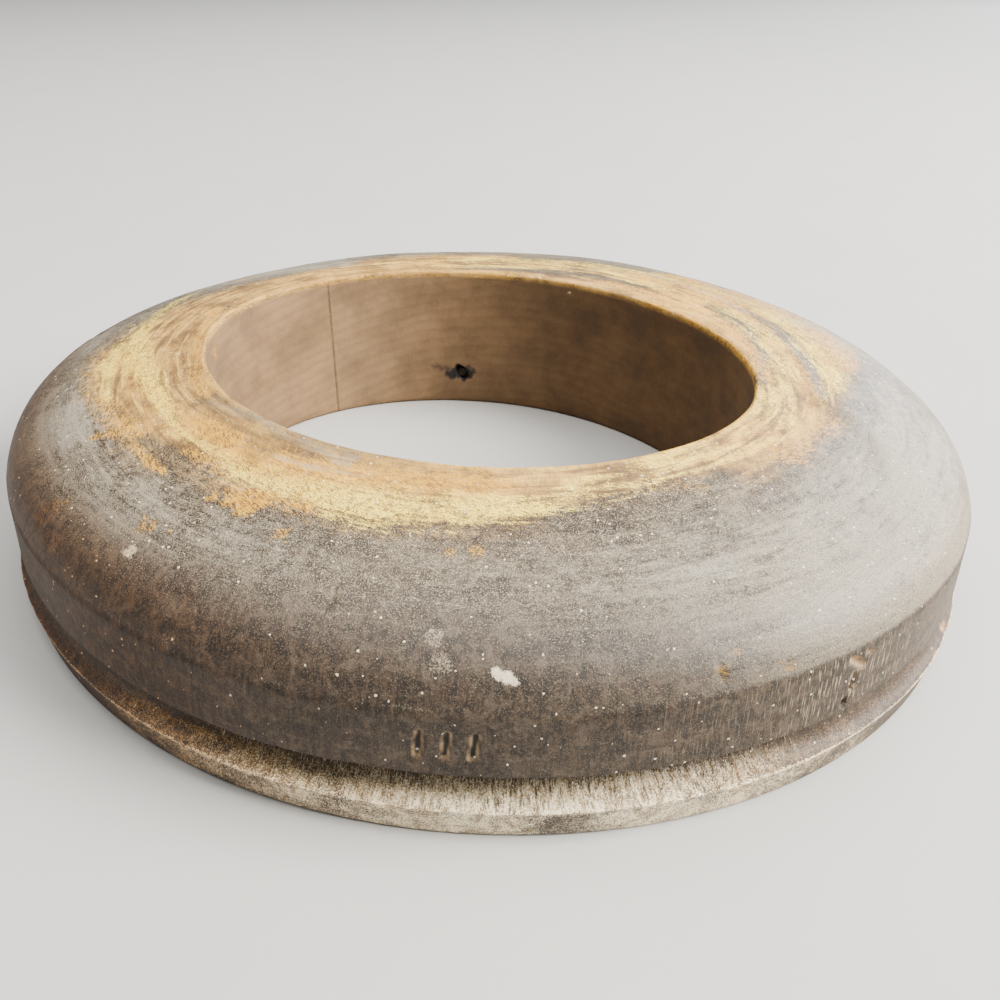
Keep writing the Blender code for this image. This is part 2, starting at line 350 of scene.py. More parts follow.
def section_rows():
    """Rows in order as (share, outward, height, way through the groove or None)."""
    rows = [(0.0, FOOT_CHAMFER, 0.0, None)]
    rows += [(0.0, FOOT_CHAMFER * (1.0 - math.sin(a)), FOOT_CHAMFER * (1.0 - math.cos(a)), None)
             for a in (0.5, 1.0)]
    rows.append((0.0, 0.0, FOOT_CHAMFER, None))
    for low, high, count in zip(BORE_LEVELS[:-1], BORE_LEVELS[1:], BORE_ROWS):
        rows += [(0.0, 0.0, height, None) for height in np.linspace(low, high, count)[1:]]
    for a in np.linspace(0.0, 0.5 * math.pi, EDGE_ROWS)[1:-1]:
        out = EDGE_EASE * (1.0 - math.cos(a))
        rows.append((0.0, out, TOP_HEIGHT - EDGE_EASE * (1.0 - math.sin(a)) - TOP_SLOPE * out, None))
    share, height = top_curve(TOP_ROWS)
    ease = EDGE_EASE / BRIM_AT_ENDS
    rows += [(max(s, ease), 0.0, h - TOP_SLOPE * max(0.0, ease - s) * BRIM_AT_ENDS, None)
             for s, h in zip(share[1:], height[1:])]
    for down in np.linspace(0.0, 1.0, BAND_ROWS)[1:]:
        inset = -SHOULDER_INSET * (1.0 - down)
        rows.append((1.0, inset, SHOULDER_HEIGHT + (GROOVE_TOP - SHOULDER_HEIGHT) * down, None))
    rows += [(1.0, 0.0, 0.0, u) for u in np.linspace(0.0, 1.0, GROOVE_ROWS)[1:]]
    for down in np.linspace(0.0, 1.0, RIM_ROWS)[1:]:
        height = RIM_HEIGHT + (RIM_EDGE_EASE - RIM_HEIGHT) * down
        rows.append((1.0, RIM_OVERHANG * height / RIM_HEIGHT, height, None))
    for a in (0.5, 1.0, 0.5 * math.pi):
        rows.append((1.0, -RIM_EDGE_EASE * (1.0 - math.cos(a)), RIM_EDGE_EASE * (1.0 - math.sin(a)), None))
    rows += [(share, 0.0, 0.0, None) for share in np.linspace(0.97, 0.04, UNDER_ROWS)]
    return rows


ROWS = section_rows()
print("section:", len(ROWS), "rows")

# %% [markdown]
# Each row has one place for the whole ring, apart from the groove's rows, which move in and out with the
# grain. `across` is the way along the section, which the noises and the marks use as their second axis.

# %% The section at every angle
def step(value, low, high):
    """0 below low and 1 above high, with a smooth slope between."""
    t = np.clip((value - low) / (high - low), 0.0, 1.0)
    return t * t * (3.0 - 2.0 * t)


def grain_end(angles):
    """1 where the band faces along the grain, at the front and back, and 0 along the sides."""
    foot = np.column_stack([np.interp(angles, HOOP_ANGLES, FOOT_HOOP[:, i], period=math.tau) for i in (0, 1)])
    facing = np.abs(foot[:, 1]) / np.hypot(foot[:, 0], foot[:, 1])
    return step(facing, GRAIN_END_FROM, GRAIN_END_FULL)


def section_shape(end):
    """Outward and height for every row, at each value from 0 to 1 of how far the grain ends in the groove."""
    depth = GROOVE_DEPTH_AT_SIDES + (GROOVE_DEPTH_AT_GRAIN_ENDS - GROOVE_DEPTH_AT_SIDES) * end
    outward = np.empty((len(ROWS), len(end)))
    height = np.empty_like(outward)
    for i, (_, out, level, u) in enumerate(ROWS):
        outward[i] = out
        height[i] = level
        if u is not None:
            w = ((1 - u) ** 3, 3 * u * (1 - u) ** 2, 3 * u * u * (1 - u), u ** 3)
            outward[i] = -(w[1] + w[2]) * depth / CURVE_REACH + w[3] * RIM_OVERHANG
            height[i] = (w[0] * GROOVE_TOP + w[1] * (GROOVE_TOP + GROOVE_UNDERCUT * end)
                         + w[2] * (RIM_HEIGHT + GROOVE_FLOOR_RISE) + w[3] * RIM_HEIGHT)
    return outward, height


def section_arrays(angles):
    """Outward and height for every row and angle, with the share and the way across of each row."""
    outward, height = section_shape(grain_end(angles))
    share = np.array([row[0] for row in ROWS])
    usual_out, usual_height = section_shape(np.array([0.5]))
    place = share * 0.5 * (BRIM_AT_ENDS + BRIM_AT_SIDES) + usual_out[:, 0]
    across = np.concatenate([[0.0], np.cumsum(np.hypot(np.diff(place), np.diff(usual_height[:, 0])))])
    return outward, height, share[:, None], across[:, None]


# %% [markdown]
# ## Worn wood is never smooth
# Damp felt, irons and years on a shelf leave swells, dents and specks. Smooth noise gives the swells and
# the grain: a lattice of fixed random numbers, blended between its corners. It is written here with numpy
# rather than with a Displace modifier, because the same function then also draws where the wood is
# rubbed or soiled, so that colour and shape agree. Lengths from here on are in millimetres where a
# name ends in _mm.

# %% Noise, spots and strokes
SCRAMBLE_AXES = np.array([73856093, 19349663, 83492791])
SCRAMBLE_SEED = 2654435761
SCRAMBLE_ALL = 1274126177


def noise(points, lump, seed):
    """Smooth noise from -1 to 1. A lump is about that wide, one size or one for each axis."""
    place = points / np.asarray(lump, dtype=float)
    cell = np.floor(place).astype(np.int64)
    part = place - cell
    part = part ** 3 * (part * (part * 6.0 - 15.0) + 10.0)
    total = np.zeros(len(points))
    for corner in range(8):
        offset = np.array([corner & 1, corner >> 1 & 1, corner >> 2 & 1])
        key = (cell + offset) @ SCRAMBLE_AXES + seed * SCRAMBLE_SEED
        key = (key ^ (key >> 13)) * SCRAMBLE_ALL
        value = ((key ^ (key >> 16)) & 65535) / 32767.5 - 1.0
        total += value * np.where(offset, part, 1.0 - part).prod(axis=1)
    return total


def fractal(points, lump, seed, octaves=4):
    """Noise with finer noise on top, each octave half as wide and half as strong."""
    sizes = np.asarray(lump, dtype=float)
    return sum(noise(points, sizes / 2 ** i, seed + i) / 2 ** i for i in range(octaves)) / 1.5


def hump(value, middle, width):
    """1 where the value is at the middle, and falling away to 0 on both sides."""
    return np.exp(-((value - middle) / width) ** 2)


def round_the_ring(azimuth, stations):
    """A value that changes round the ring: stations are (azimuth in degrees, value)."""
    places, values = zip(*stations)
    return np.interp(azimuth, places, values, period=360.0)


def spot(points_mm, centre, radius, ragged=0.35, seed=5):
    """1 at the centre of a ragged spot and 0 outside it."""
    away = np.linalg.norm(points_mm - np.array(centre), axis=1) / radius
    near = away < 2.5
    result = np.zeros(len(points_mm))
    rough = 1.0 + ragged * fractal(points_mm[near], radius, seed, 3)
    result[near] = 1.0 - step(away[near] * rough, 0.55, 1.15)
    return result


def stroke(points_mm, corners, uneven):
    """1 along the middle of a stroke seen from above, and 0 past its half width, which changes along it."""
    corners = np.array(corners, dtype=float)
    away = np.full(len(points_mm), 9.0)
    for a, b in zip(corners[:-1], corners[1:]):
        run = b[:2] - a[:2]
        t = np.clip((points_mm[:, :2] - a[:2]) @ run / (run @ run), 0.0, 1.0)
        half = a[2] + (b[2] - a[2]) * t
        away = np.minimum(away, np.linalg.norm(points_mm[:, :2] - a[:2] - t[:, None] * run, axis=1) / half)
    return 1.0 - step(away + 0.35 * uneven, 0.1, 1.8)


def line_distance(points_mm, corners):
    """Distance in mm from a line through the corners."""
    best = np.full(len(points_mm), 1e6)
    for a, b in zip(np.array(corners[:-1], dtype=float), np.array(corners[1:], dtype=float)):
        along = np.clip((points_mm - a) @ (b - a) / ((b - a) @ (b - a)), 0.0, 1.0)
        best = np.minimum(best, np.linalg.norm(points_mm - a - along[:, None] * (b - a), axis=1))
    return best


# %% [markdown]
# ## Where the marks are
# Each dent, chip and stain is one line here, with its place on the block and its size in millimetres,
# so a mark can be moved or taken out. The marks keep to what such a block gets: knocks on the shoulder
# and band, a chip at the band's edge, drips of size on the top, and iron stain round the broken nail.

# %% Lists of marks
# Dents and chips: centre, half length and half breadth, depth, and the turn of the length in degrees.
DENTS = (
    ((-71, -128.5, 48.5), (5.2, 2.6), 0.75, 28), ((-9, -142.5, 51), (2.4, 1.8), 0.22, 0),
    ((59, -145.5, 43.8), (1.4, 2.8), 0.45, 10), ((76, -140.3, 41.7), (2, 1.3), 0.4, 20),
    ((63, -140.8, 47.6), (2.8, 1), 0.35, 15), ((-119, -91, 48), (3.5, 1.6), 0.5, -52),
    ((-114, -98, 45), (3, 1.4), 0.45, -50), ((104, 96, 50), (4, 2.4), 0.6, 140),
    ((-30, 140, 47), (3.6, 1.8), 0.5, 8), ((40, 145, 44), (2.2, 1.4), 0.5, -12),
    ((150, 12, 44), (2, 3.6), 0.5, 0), ((-148, 30, 48), (2.2, 4.2), 0.5, 4),
    ((20, -135.5, 53.5), (1.4, 1.1), 0.2, 0), ((36, 72.5, 56.5), (2.6, 1.5), 0.5, 0),
    ((-96, -22, 59.5), (2.2, 1.4), 0.4, 70), ((8, -81.5, 60.5), (2.6, 1), 0.35, 0),
)
CHIPS = (
    ((97.5, -131, 35.3), (5.2, 1.9), 1.5, -34), ((101.6, -129, 36.4), (1.6, 1.3), 1, 0),
    ((95.7, -132.4, 23), (1.3, 1.6), 2.4, 0),
    ((46, 150.4, 21), (3.2, 1.2), 1.1, 0), ((-140, 72, 20.8), (2.6, 1.2), 0.9, 0),
    ((139, -84, 9.3), (3.4, 1.2), 0.8, 0), ((-18, -156.2, 9.4), (2.2, 0.9), 0.6, 0),
    ((-101, 120, 9.2), (3, 1.2), 0.8, 0), ((84, 133, 9), (2.4, 1), 0.7, 0),
)
# Spots: centre, radius and strength. Cracks: the corners of each line.
PALE_SPOTS = (
    ((-6.9, -142.5, 51.2), 3.1, 0.46), ((-5.3, -147.9, 48.7), 3.4, 0.42), ((7.6, -150.2, 47.2), 1.7, 0.85),
    ((9.6, -150.9, 46.6), 1.9, 0.85), ((11.4, -151.4, 45.9), 1.2, 0.75),
    ((-87, -111.8, 51.4), 2.6, 0.6), ((-72, -129.5, 47.4), 4, 0.6),
    ((-63.1, -136.6, 45), 4.4, 0.3), ((-72.1, -134.4, 41.4), 3.4, 0.3), ((-36, -78, 60.2), 4.5, 0.55),
    ((11.8, -156.5, 23.7), 4, 0.6), ((-31, -112, 57), 3, 0.35), ((42, -112, 57.4), 2.2, 0.3),
    ((35.5, 71.8, 56.4), 1.7, 0.9), ((120, 60, 55), 4, 0.3), ((-60, 118, 54), 5, 0.3),
    ((96, -60, 59.5), 3, 0.3), ((-128, -68, 50), 6, 0.35), ((-132, 40, 52), 7, 0.3),
)
OCHRE_SPOTS = (
    ((-59.5, -95.5, 57.2), 6, 1), ((-66, -91.5, 57.5), 2.6, 0.6), ((-70.1, -94, 56.7), 2.2, 0.7),
    ((-84.2, -103.7, 53.7), 3, 0.5), ((-47.3, -110, 56.2), 1.8, 0.7), ((-109, -57, 56.4), 5, 0.55),
    ((-101, -60, 57), 4, 0.42), ((1.5, -117, 56.8), 2.4, 0.45), ((-5, -117.2, 56.8), 1.8, 0.35),
    ((88, -69.4, 59), 4, 0.5),
    ((94, -71, 58), 3, 0.45), ((59.1, -145.5, 43.8), 1.8, 0.6), ((76.1, -140.3, 41.7), 1.8, 0.5),
    ((63, -140.8, 47.6), 2, 0.42), ((-117, -91, 49.2), 4.6, 0.32), ((-113, -101, 44.5), 3.6, 0.28),
    ((126, 34, 55), 11, 0.45), ((118, 62, 54), 12, 0.4), ((-20, 112, 56), 12, 0.3),
    ((-110, 88, 52), 8, 0.3), ((-95.5, 12, 53), 6, 0.25),
)
DARK_SPOTS = tuple(((x, -147.4, 49.2), 1.9, 0.30) for x in (15.5, 19.5, 23.4, 27, 31.8)) + (
    ((-95.2, 11.9, 53.5), 6, 0.4), ((-82, -49, 60.3), 7, 0.3), ((-60, -69.5, 60.6), 9, 0.5),
    ((-49, -76, 60.3), 6, 0.4), ((60, -128, 54), 3, 0.2), ((-35, 101, 57.5), 6, 0.25),
    ((-104.5, -64.5, 56.8), 4, 0.35), ((-96, -66, 57.4), 3.4, 0.35),
)
CRACKS = (
    ((-33.6, -137, 51.2), (-31.7, -132.5, 53), (-31.4, -127, 54.3), (-28.8, -123.8, 55.1),
     (-25.1, -123.4, 55.2)),
    ((72, -111, 56), (78, -113.5, 55.2), (83, -117.5, 53.6)),
    ((88, -128, 48.6), (92, -126.5, 48.6), (95, -124, 48.8)),
    ((98.8, -130.2, 36.8), (97.4, -131.2, 31), (95.6, -132.6, 24)),
    ((-49.5, 75.3, 59.6), (-49.6, 75.3, 55.4)),
)
LARGEST_PALE_SPOT = 3.6
DEEP_CHIP = 2.0
# The plain strokes struck in the band: x, lowest and highest level.
STRUCK_STROKES = tuple((x, 25.5, 33.5) for x in (-11, -4.5, 2)) + ((96.5, 26.5, 32),)
print(len(DENTS) + len(CHIPS), "dents and chips,", len(CRACKS), "cracks")

# %% [markdown]
# Felt and hands drag across the top in long strokes, so the rubbed ring isn't one even band. Each line
# below is one stroke seen from above: what it leaves, how much of it, and its corners as x, y and half
# width in millimetres. "skin" is a stroke where the grey-brown surface was left standing.

# %% Strokes of wear on the top
STREAKS = (
    ("cream", 0.6, ((-117, 80, 0.6), (-124, 62, 1.4), (-128, 42, 2.4), (-128, 22, 3.4))),
    ("cream", 1.12, ((-130, 30, 0.8), (-127, 14, 3), (-121, -4, 4.5), (-114, -18, 4.5), (-106, -32, 4),
                     (-97, -46, 3), (-90, -58, 1.5))),
    ("cream", 0.5, ((-134, 30, 1), (-131, 8, 3), (-126, -12, 2))),
    ("cream", 0.6, ((-92, -58, 2.5), (-83, -66, 3.2), (-75, -74, 3.4), (-64, -83, 3))),
    ("cream", 0.5, ((-131, -6, 3), (-125, -21, 3), (-118, -38, 3))),
    ("cream", 0.92, ((-66, -82, 3), (-51, -90, 5), (-36, -96, 6.5), (-20, -100, 7), (-5, -101, 6),
                     (8, -101, 5), (20, -99, 3))),
    ("cream", 0.45, ((18, -97, 3), (31, -91, 4), (46, -82, 4), (65, -69, 4), (78, -55, 5))),
    ("cream", 0.36, ((23, -101, 2), (40, -94, 2.5), (57, -82, 3), (73, -71, 3), (91, -57, 4),
                     (101, -42, 5))),
    ("cream", 0.6, ((85, -50, 4), (97, -30, 6), (104, -10, 6))),
    ("cream", 0.8, ((104, -10, 6), (106, 10, 6), (103, 30, 6), (95, 50, 5), (84, 68, 5), (66, 82, 5))),
    ("cream", 0.9, ((110, -34, 1.5), (120, -12, 5), (124, 12, 7), (121, 40, 8), (112, 64, 8),
                     (96, 84, 8), (75, 99, 6))),
    ("cream", 0.62, ((75, 99, 6), (50, 109, 6), (25, 113, 5), (0, 111, 5), (-25, 105, 4), (-48, 99, 3))),
    ("cream", 0.4, ((56, 92, 5), (30, 97, 5), (0, 96, 5), (-30, 93, 3))),
    ("ochre", 0.8, ((-88, -55, 4), (-72, -68, 6), (-58, -78, 6), (-47, -84, 5), (-34, -86, 5), (-20, -89, 5),
                     (-5, -90, 5), (8, -91, 3))),
    ("ochre", 0.6, ((-121, -34, 0.6), (-116, -52, 2.0), (-107, -58, 1.5))),
    ("ochre", 0.75, ((-102, -65, 1.0), (-93, -76, 1.4), (-87, -81, 1.0))),
    ("ochre", 0.9, ((128, 4, 5), (133, 25, 7), (129, 48, 8), (119, 68, 8), (105, 86, 7), (86, 103, 6))),
    ("ochre", 0.55, ((96, -20, 3), (97, 0, 3), (93, 22, 4), (84, 42, 5), (70, 60, 5), (52, 74, 4))),
    ("ochre", 0.55, ((-103, 34, 3), (-101, 5, 3), (-94, -22, 3), (-87, -38, 3))),
    ("ochre", 0.35, ((-124, -3, 4), (-117, -20, 4), (-106, -36, 4))),
    ("dust_and_sheen", 0.52, ((-84, -44, 0.8), (-69, -55, 2.0), (-56, -63, 2.2), (-44, -74, 2.2), (-35, -83, 0.8))),
    ("dust_and_sheen", 0.56, ((-63, -73, 0.5), (-46, -82, 1.2), (-30, -87, 0.6))),
    ("dust_and_sheen", 0.4, ((-60, -63, 2), (-47, -72, 3.5), (-36, -79, 1.5))),
    ("dust_and_sheen", 0.5, ((-117, -68, 5), (-105, -88, 8), (-97, -100, 7), (-86, -112, 4))),
    ("dust_and_sheen", 0.42, ((-137, -25, 6), (-133, -40, 8), (-126, -56, 6))),
    ("dust_and_sheen", 0.7, ((-124, 80, 8), (-102, 90, 10), (-82, 97, 10), (-66, 101, 9))),
    ("dust_and_sheen", 0.55, ((70, 100, 3), (84, 88, 4), (97, 70, 4), (104, 50, 3))),
    ("dust_and_sheen", 0.4, ((48, -109, 2), (60, -102, 3), (70, -97, 2))),
    ("soil_and_shade", 0.58, ((-94, -34, 0.6), (-84, -47, 1.8), (-73, -58, 2.2), (-61, -69, 2.0), (-49, -77, 0.6))),
    ("soil_and_shade", 0.46, ((-88, -34, 0.5), (-79, -45, 1.2), (-69, -54, 1.2), (-58, -61, 0.5))),
    ("soil_and_shade", 0.4, ((-123, -22, 3), (-113, -38, 3.5), (-105, -51, 3))),
    ("soil_and_shade", 0.4, ((101, -14, 2), (110, -32, 5), (117, -45, 6), (120, -60, 5), (117, -76, 2))),
    ("skin", 0.8, ((23, -106, 4), (39, -101, 5), (55, -93, 5), (70, -84, 4))),
    ("skin", 0.75, ((132, -22, 7), (120, -45, 8), (110, -60, 8), (95, -76, 8))),
    ("skin", 0.6, ((-99, -63, 2.5), (-86, -74, 3.5), (-72, -83, 3))),
    ("skin", 0.85, ((-12, 88, 3), (14, 90, 4), (44, 86, 4), (66, 73, 3))),
    ("skin", 0.9, ((20, 122, 5), (52, 118, 6), (84, 106, 6), (104, 92, 4))),
    ("skin", 0.8, ((92, -24, 2.5), (100, 4, 3), (99, 30, 3), (90, 52, 3))),
    ("skin", 0.8, ((112, -30, 2), (115, 0, 2.5), (113, 30, 2.5), (104, 56, 2))),
)
print(len(STREAKS), "strokes of wear")

# %% [markdown]
# ## Hand-finishing the shape
# A dent is a soft hollow, longer one way than the other. A chip is the same, but steep-sided and deep.
# The end grain in the groove was torn by the cutter, so its floor is fluted from top to bottom. All of
# this moves points along the surface's own normals, before the ends are closed, so the joints stay true.

# %% Relief
UNROLLED_RADIUS = 130.0
NAIL_MOUTH = np.array([NAIL_X / MM, 82.3, NAIL_HEIGHT / MM])
NAIL_REACH = 8.0
SOFT_TO = 1.5
STEEP_FROM = 0.35
STROKE_LEAN = 0.12
# How far each kind of relief goes up or down, in mm.
SWELLS = 0.34
RIPPLES = 0.055
DRAG_LINES = 0.030
GRAIN_LINES = 0.022
FLUTES, MORE_AT_GRAIN_ENDS = 0.05, 0.16
EDGE_WEAR, MORE_WHERE_BITTEN = 0.05, 0.14
SAW_MARKS = 0.05
CRACK_DEPTH = 0.35
NAIL_HOLE_DEPTH = 3.2
STRUCK_DEPTH = 1.1


def lay_mm(angle, across):
    """Each point's place on the unrolled surface: along the ring, across it, and nothing."""
    return np.column_stack([angle * UNROLLED_RADIUS, across, np.zeros(len(across))])


def hollow(points_mm, normals, centre, half_sizes, depth, turn, steep):
    """Depth in mm of a dent or chip. Its length lies level, turned up by some degrees."""
    gap = points_mm - np.array(centre)
    result = np.zeros(len(points_mm))
    near = np.linalg.norm(gap, axis=1) < min(3.0 * max(half_sizes), 14.0)
    if not near.any():
        return result
    out = normals[near].mean(axis=0)
    level = np.cross((0.0, 0.0, 1.0), out)
    level = level / max(np.linalg.norm(level), 1e-6)
    up = np.cross(out, level)
    c, s = math.cos(math.radians(turn)), math.sin(math.radians(turn))
    a = gap[near] @ (c * level + s * up) / half_sizes[0]
    b = gap[near] @ (c * up - s * level) / half_sizes[1]
    away = np.hypot(a, b) * (1.0 + 0.25 * fractal(points_mm[near], 3.0, 11, 3))
    result[near] = depth * (1.0 - (step(away, STEEP_FROM, 1.0) if steep else step(away, 0.0, SOFT_TO)))
    return result


def relief_mm(points_mm, normals, across, angle):
    """How far each point stands out from the true surface, in mm."""
    end = grain_end(angle)
    lay = lay_mm(angle, across)
    on_top = step(across, AT["top"], AT["top"] + 8.0) * (1.0 - step(across, AT["band"] - 3.0, AT["band"]))
    in_groove = step(across, AT["groove"] - 0.8, AT["groove"] + 1.0)
    in_groove = in_groove * (1.0 - step(across, AT["rim"] - 1.5, AT["rim"] + 0.2))
    under = step(across, AT["under"] - 1.0, AT["under"] + 0.5)
    off_table = step(points_mm[:, 2], 0.2, 4.0)
    out = SWELLS * fractal(points_mm, 52.0, 3) + RIPPLES * fractal(points_mm, 7.0, 9)
    out += DRAG_LINES * on_top * noise(lay, (60.0, 2.2, 1.0), 21)
    out += GRAIN_LINES * fractal(points_mm, 1.9, 31, 2)
    flutes = noise(lay, (0.9, 9.0, 1.0), 41) + 0.7 * noise(lay, (0.5, 4.0, 1.0), 43)
    out += in_groove * (FLUTES + MORE_AT_GRAIN_ENDS * end) * flutes
    edges = hump(across, AT["groove"], 1.1) + 0.8 * hump(across, AT["rim"], 1.0)
    edges += 0.5 * hump(across, AT["top"], 1.6)
    bites = step(fractal(lay, (4.5, 60.0, 1.0), 51), 0.12, 0.75)
    out -= edges * (EDGE_WEAR + MORE_WHERE_BITTEN * bites)
    sawn = SAW_MARKS * under * (1.0 + noise(points_mm, (1.6, 60.0, 1.0), 61))
    out = out * off_table * (1.0 - under) - sawn
    for marks, steep in ((DENTS, False), (CHIPS, True)):
        for mark in marks:
            out -= hollow(points_mm, normals, *mark, steep)
    for line in CRACKS:
        out -= CRACK_DEPTH * (1.0 - step(line_distance(points_mm, line), 0.1, 0.7))
    out -= NAIL_HOLE_DEPTH * (1.0 - step(nail_distance(points_mm), 2.1, 3.3))
    out -= STRUCK_DEPTH * struck_strokes(points_mm, across)
    return out


def nail_distance(points_mm):
    """Distance in mm from the nail's axis, made uneven, because the wood broke out round the nail."""
    gap = points_mm - NAIL_MOUTH
    away = np.hypot(gap[:, 0] * 1.15 + gap[:, 2] * 0.35, gap[:, 2] * 0.8)
    uneven = away * (1.0 + 0.22 * noise(points_mm, 2.2, 71))
    return np.where(np.abs(gap[:, 1]) < NAIL_REACH, uneven, 99.0)


def struck_strokes(points_mm, across):
    """1 along the middle of each plain stroke struck in the band with a chisel, and 0 beside it."""
    depth = np.zeros(len(points_mm))
    on_band = (points_mm[:, 1] < 0.0) & (across > AT["band"]) & (across < AT["groove"])
    level = points_mm[:, 2]
    for x, low, high in STRUCK_STROKES:
        wide = np.abs(points_mm[:, 0] - (x + STROKE_LEAN * (level - low))) * (1.0 if x < 60.0 else 1.6)
        tall = step(level, low - 0.6, low + 0.6) * (1.0 - step(level, high - 0.6, high + 0.6))
        depth = np.maximum(depth, (1.0 - step(wide, 0.35, 1.25)) * tall)
    return np.where(on_band, depth, 0.0)


def ways_across():
    """Where each zone of the section starts, in mm along it."""
    across = section_arrays(HOOP_ANGLES[:1])[3].ravel() / MM
    shares = np.array([row[0] for row in ROWS])
    levels = np.array([row[2] for row in ROWS])
    in_groove = np.array([row[3] is not None for row in ROWS])
    top = int(np.argmax((shares == 0.0) & (levels >= TOP_HEIGHT - 1.2 * EDGE_EASE)))
    band = int(np.argmax(shares == 1.0)) - 1
    groove = int(np.argmax(in_groove)) - 1
    rim = len(ROWS) - 1 - int(np.argmax(in_groove[::-1]))
    under = int(np.argmax((shares == 1.0) & (levels == 0.0) & ~in_groove & (np.arange(len(ROWS)) > rim)))
    return {"top": across[top], "band": across[band], "groove": across[groove], "rim": across[rim],
            "under": across[under]}


AT = ways_across()
print("zones start at (mm):", {name: round(float(value), 1) for name, value in AT.items()})

# %% [markdown]
# ## Where the wood is rubbed, soiled and dusted, and where shade and shine are painted
# The felt and the hat maker's hands rub one ring of the top bare, and the rest keeps its grey-brown
# skin. Painting that by hand would need an image. Here each kind of wear is a number from 0 to 1 on
# every point, drawn from its place round the ring and its share of the way across, and the material
# then decides what the number looks like. Some of these numbers also darken the wood where shade falls
# and lighten it where light catches, as painted shade, painted highlights and a painted sheen.

# %% How each kind of wear changes round the ring
STATIONS = {
    "rubbed edge": ((-180, 0.6), (-165, 0.58), (-150, 0.5), (-138, 0.44), (-122, 0.4), (-105, 0.37),
                    (-90, 0.35), (-75, 0.25), (-60, 0.2), (-45, 0.3), (-30, 0.38), (-12, 0.46), (8, 0.56),
                    (35, 0.6), (60, 0.6), (95, 0.58), (115, 0.5), (135, 0.36), (155, 0.46)),
    "ochre": ((-180, 0.1), (-150, 0.3), (-120, 0.45), (-95, 0.4), (-75, 0.2), (-40, 0.25), (0, 0.5),
              (30, 0.7), (60, 0.65), (90, 0.5), (130, 0.2)),
    "ochre border": ((-180, 0.1), (-158, 0.5), (-140, 0.8), (-118, 0.75), (-100, 0.35), (-80, 0.3),
                     (-62, 0.1), (-45, 0.6), (-30, 0.3), (0, 0.5), (30, 0.8), (55, 0.6), (90, 0.2),
                     (150, 0.2)),
    # A grey dusting on the top, raised at the front right, where it paints the sheen of a soft highlight.
    "dust_and_sheen": ((-180, 0.44), (-160, 0.42), (-140, 0.38), (-120, 0.22), (-100, 0.14), (-85, 0.16), (-70, 0.36),
             (-50, 0.82), (-25, 0.76), (0, 0.46), (25, 0.3), (50, 0.28), (90, 0.34), (125, 0.66),
             (150, 0.56)),
    # Painted shade: the low part of the top, near the shoulder, is darkened because less light falls on it.
    "low painted shade": ((-180, 1.2), (-150, 1.4), (-125, 1.5), (-90, 1.62), (-74, 1.34), (-60, 0.76), (-40, 0.36),
                 (-20, 0.2), (60, 0.3), (120, 0.6)),
    # Dirt on the band, and painted shade on its upright face, darkest on the left.
    "band grime and shade": ((-180, 1.1), (-150, 1.15), (-120, 1.1), (-95, 0.98), (-75, 1.1), (-58, 0.98),
                  (-44, 0.7), (-20, 0.5), (20, 0.5), (90, 0.75), (150, 0.95)),
    # Dirt in the opening, and painted shade on its right-hand wall, which the light doesn't reach.
    "bore grime and shade": ((-180, 0.5), (150, 0.32), (118, 0.14), (95, 0.4), (60, 0.68), (20, 0.76), (-30, 0.7),
                  (-90, 0.45), (-140, 0.3)),
    "lip soil": ((-180, 0.3), (-155, 0.35), (-138, 0.4), (-125, 0.5), (-112, 0.45), (-98, 0.15),
                 (-80, 0.2), (-60, 0.1), (0, 0.05), (90, 0.15), (140, 0.3)),
    "cove cream": ((-180, 0), (-140, 0.04), (-122, 0.2), (-108, 0.46), (-92, 0.84), (-74, 0.84),
                   (-65, 0.42), (-56, 0.16), (-30, 0.1), (20, 0.15), (90, 0.5), (150, 0.1)),
    # Dirt in the groove's lower part, and painted shade there along the left side, where the groove is in
    # shadow.
    "cove grime and shade": ((-180, 0.85), (-140, 0.8), (-120, 0.45), (-104, 0.12), (-90, 0), (-72, 0.08),
                  (-62, 0.52), (-45, 0.72), (0, 0.68), (60, 0.3), (90, 0.1), (130, 0.5)),
    "rim cream": ((-180, 0), (-140, 0.04), (-120, 0.3), (-106, 0.78), (-88, 0.95), (-72, 0.74),
                  (-62, 0.45), (-48, 0.22), (0, 0.2), (90, 0.45), (130, 0.05)),
    # Dirt on the rim, and painted shade on the left, where the rim lies in shadow.
    "rim grime and shade": ((-180, 1.2), (-135, 1.2), (-115, 0.7), (-98, 0.1), (-80, 0.05), (-64, 0.35), (-50, 0.75),
                 (0, 0.7), (90, 0.35), (140, 0.9)),
    "torn": ((-180, 0), (-128, 0), (-118, 0.1), (-105, 0.45), (-92, 0.8), (-85, 1), (-71, 1),
             (-64, 0.5), (-57, 0.1), (-50, 0), (40, 0), (52, 0.3), (75, 0.6), (90, 0.5), (110, 0.35),
             (130, 0.1), (140, 0)),
    # Wear on the rim's edge, and a painted highlight along it.
    "arris wear and highlight": ((-180, 0.22), (-135, 0.45), (-110, 0.9), (-60, 1), (0, 0.9), (90, 0.8), (150, 0.5)),
    "warm brown": ((-180, 1), (-140, 1), (-120, 0.7), (-104, 0.15), (-90, 0), (-60, 0), (-40, 0.15),
                   (-10, 0.2), (60, 0.3), (120, 0.4), (160, 0.8)),
    "scuffs": ((-180, 0.1), (-120, 0.1), (-80, 0.05), (-64, 0.35), (-57, 1), (-50, 1), (-42, 0.3),
               (0, 0.15)),
}


def azimuth_of(points):
    """Each point's direction from the middle of the block, in degrees from +X."""
    return np.degrees(np.arctan2(points[:, 1], points[:, 0]))


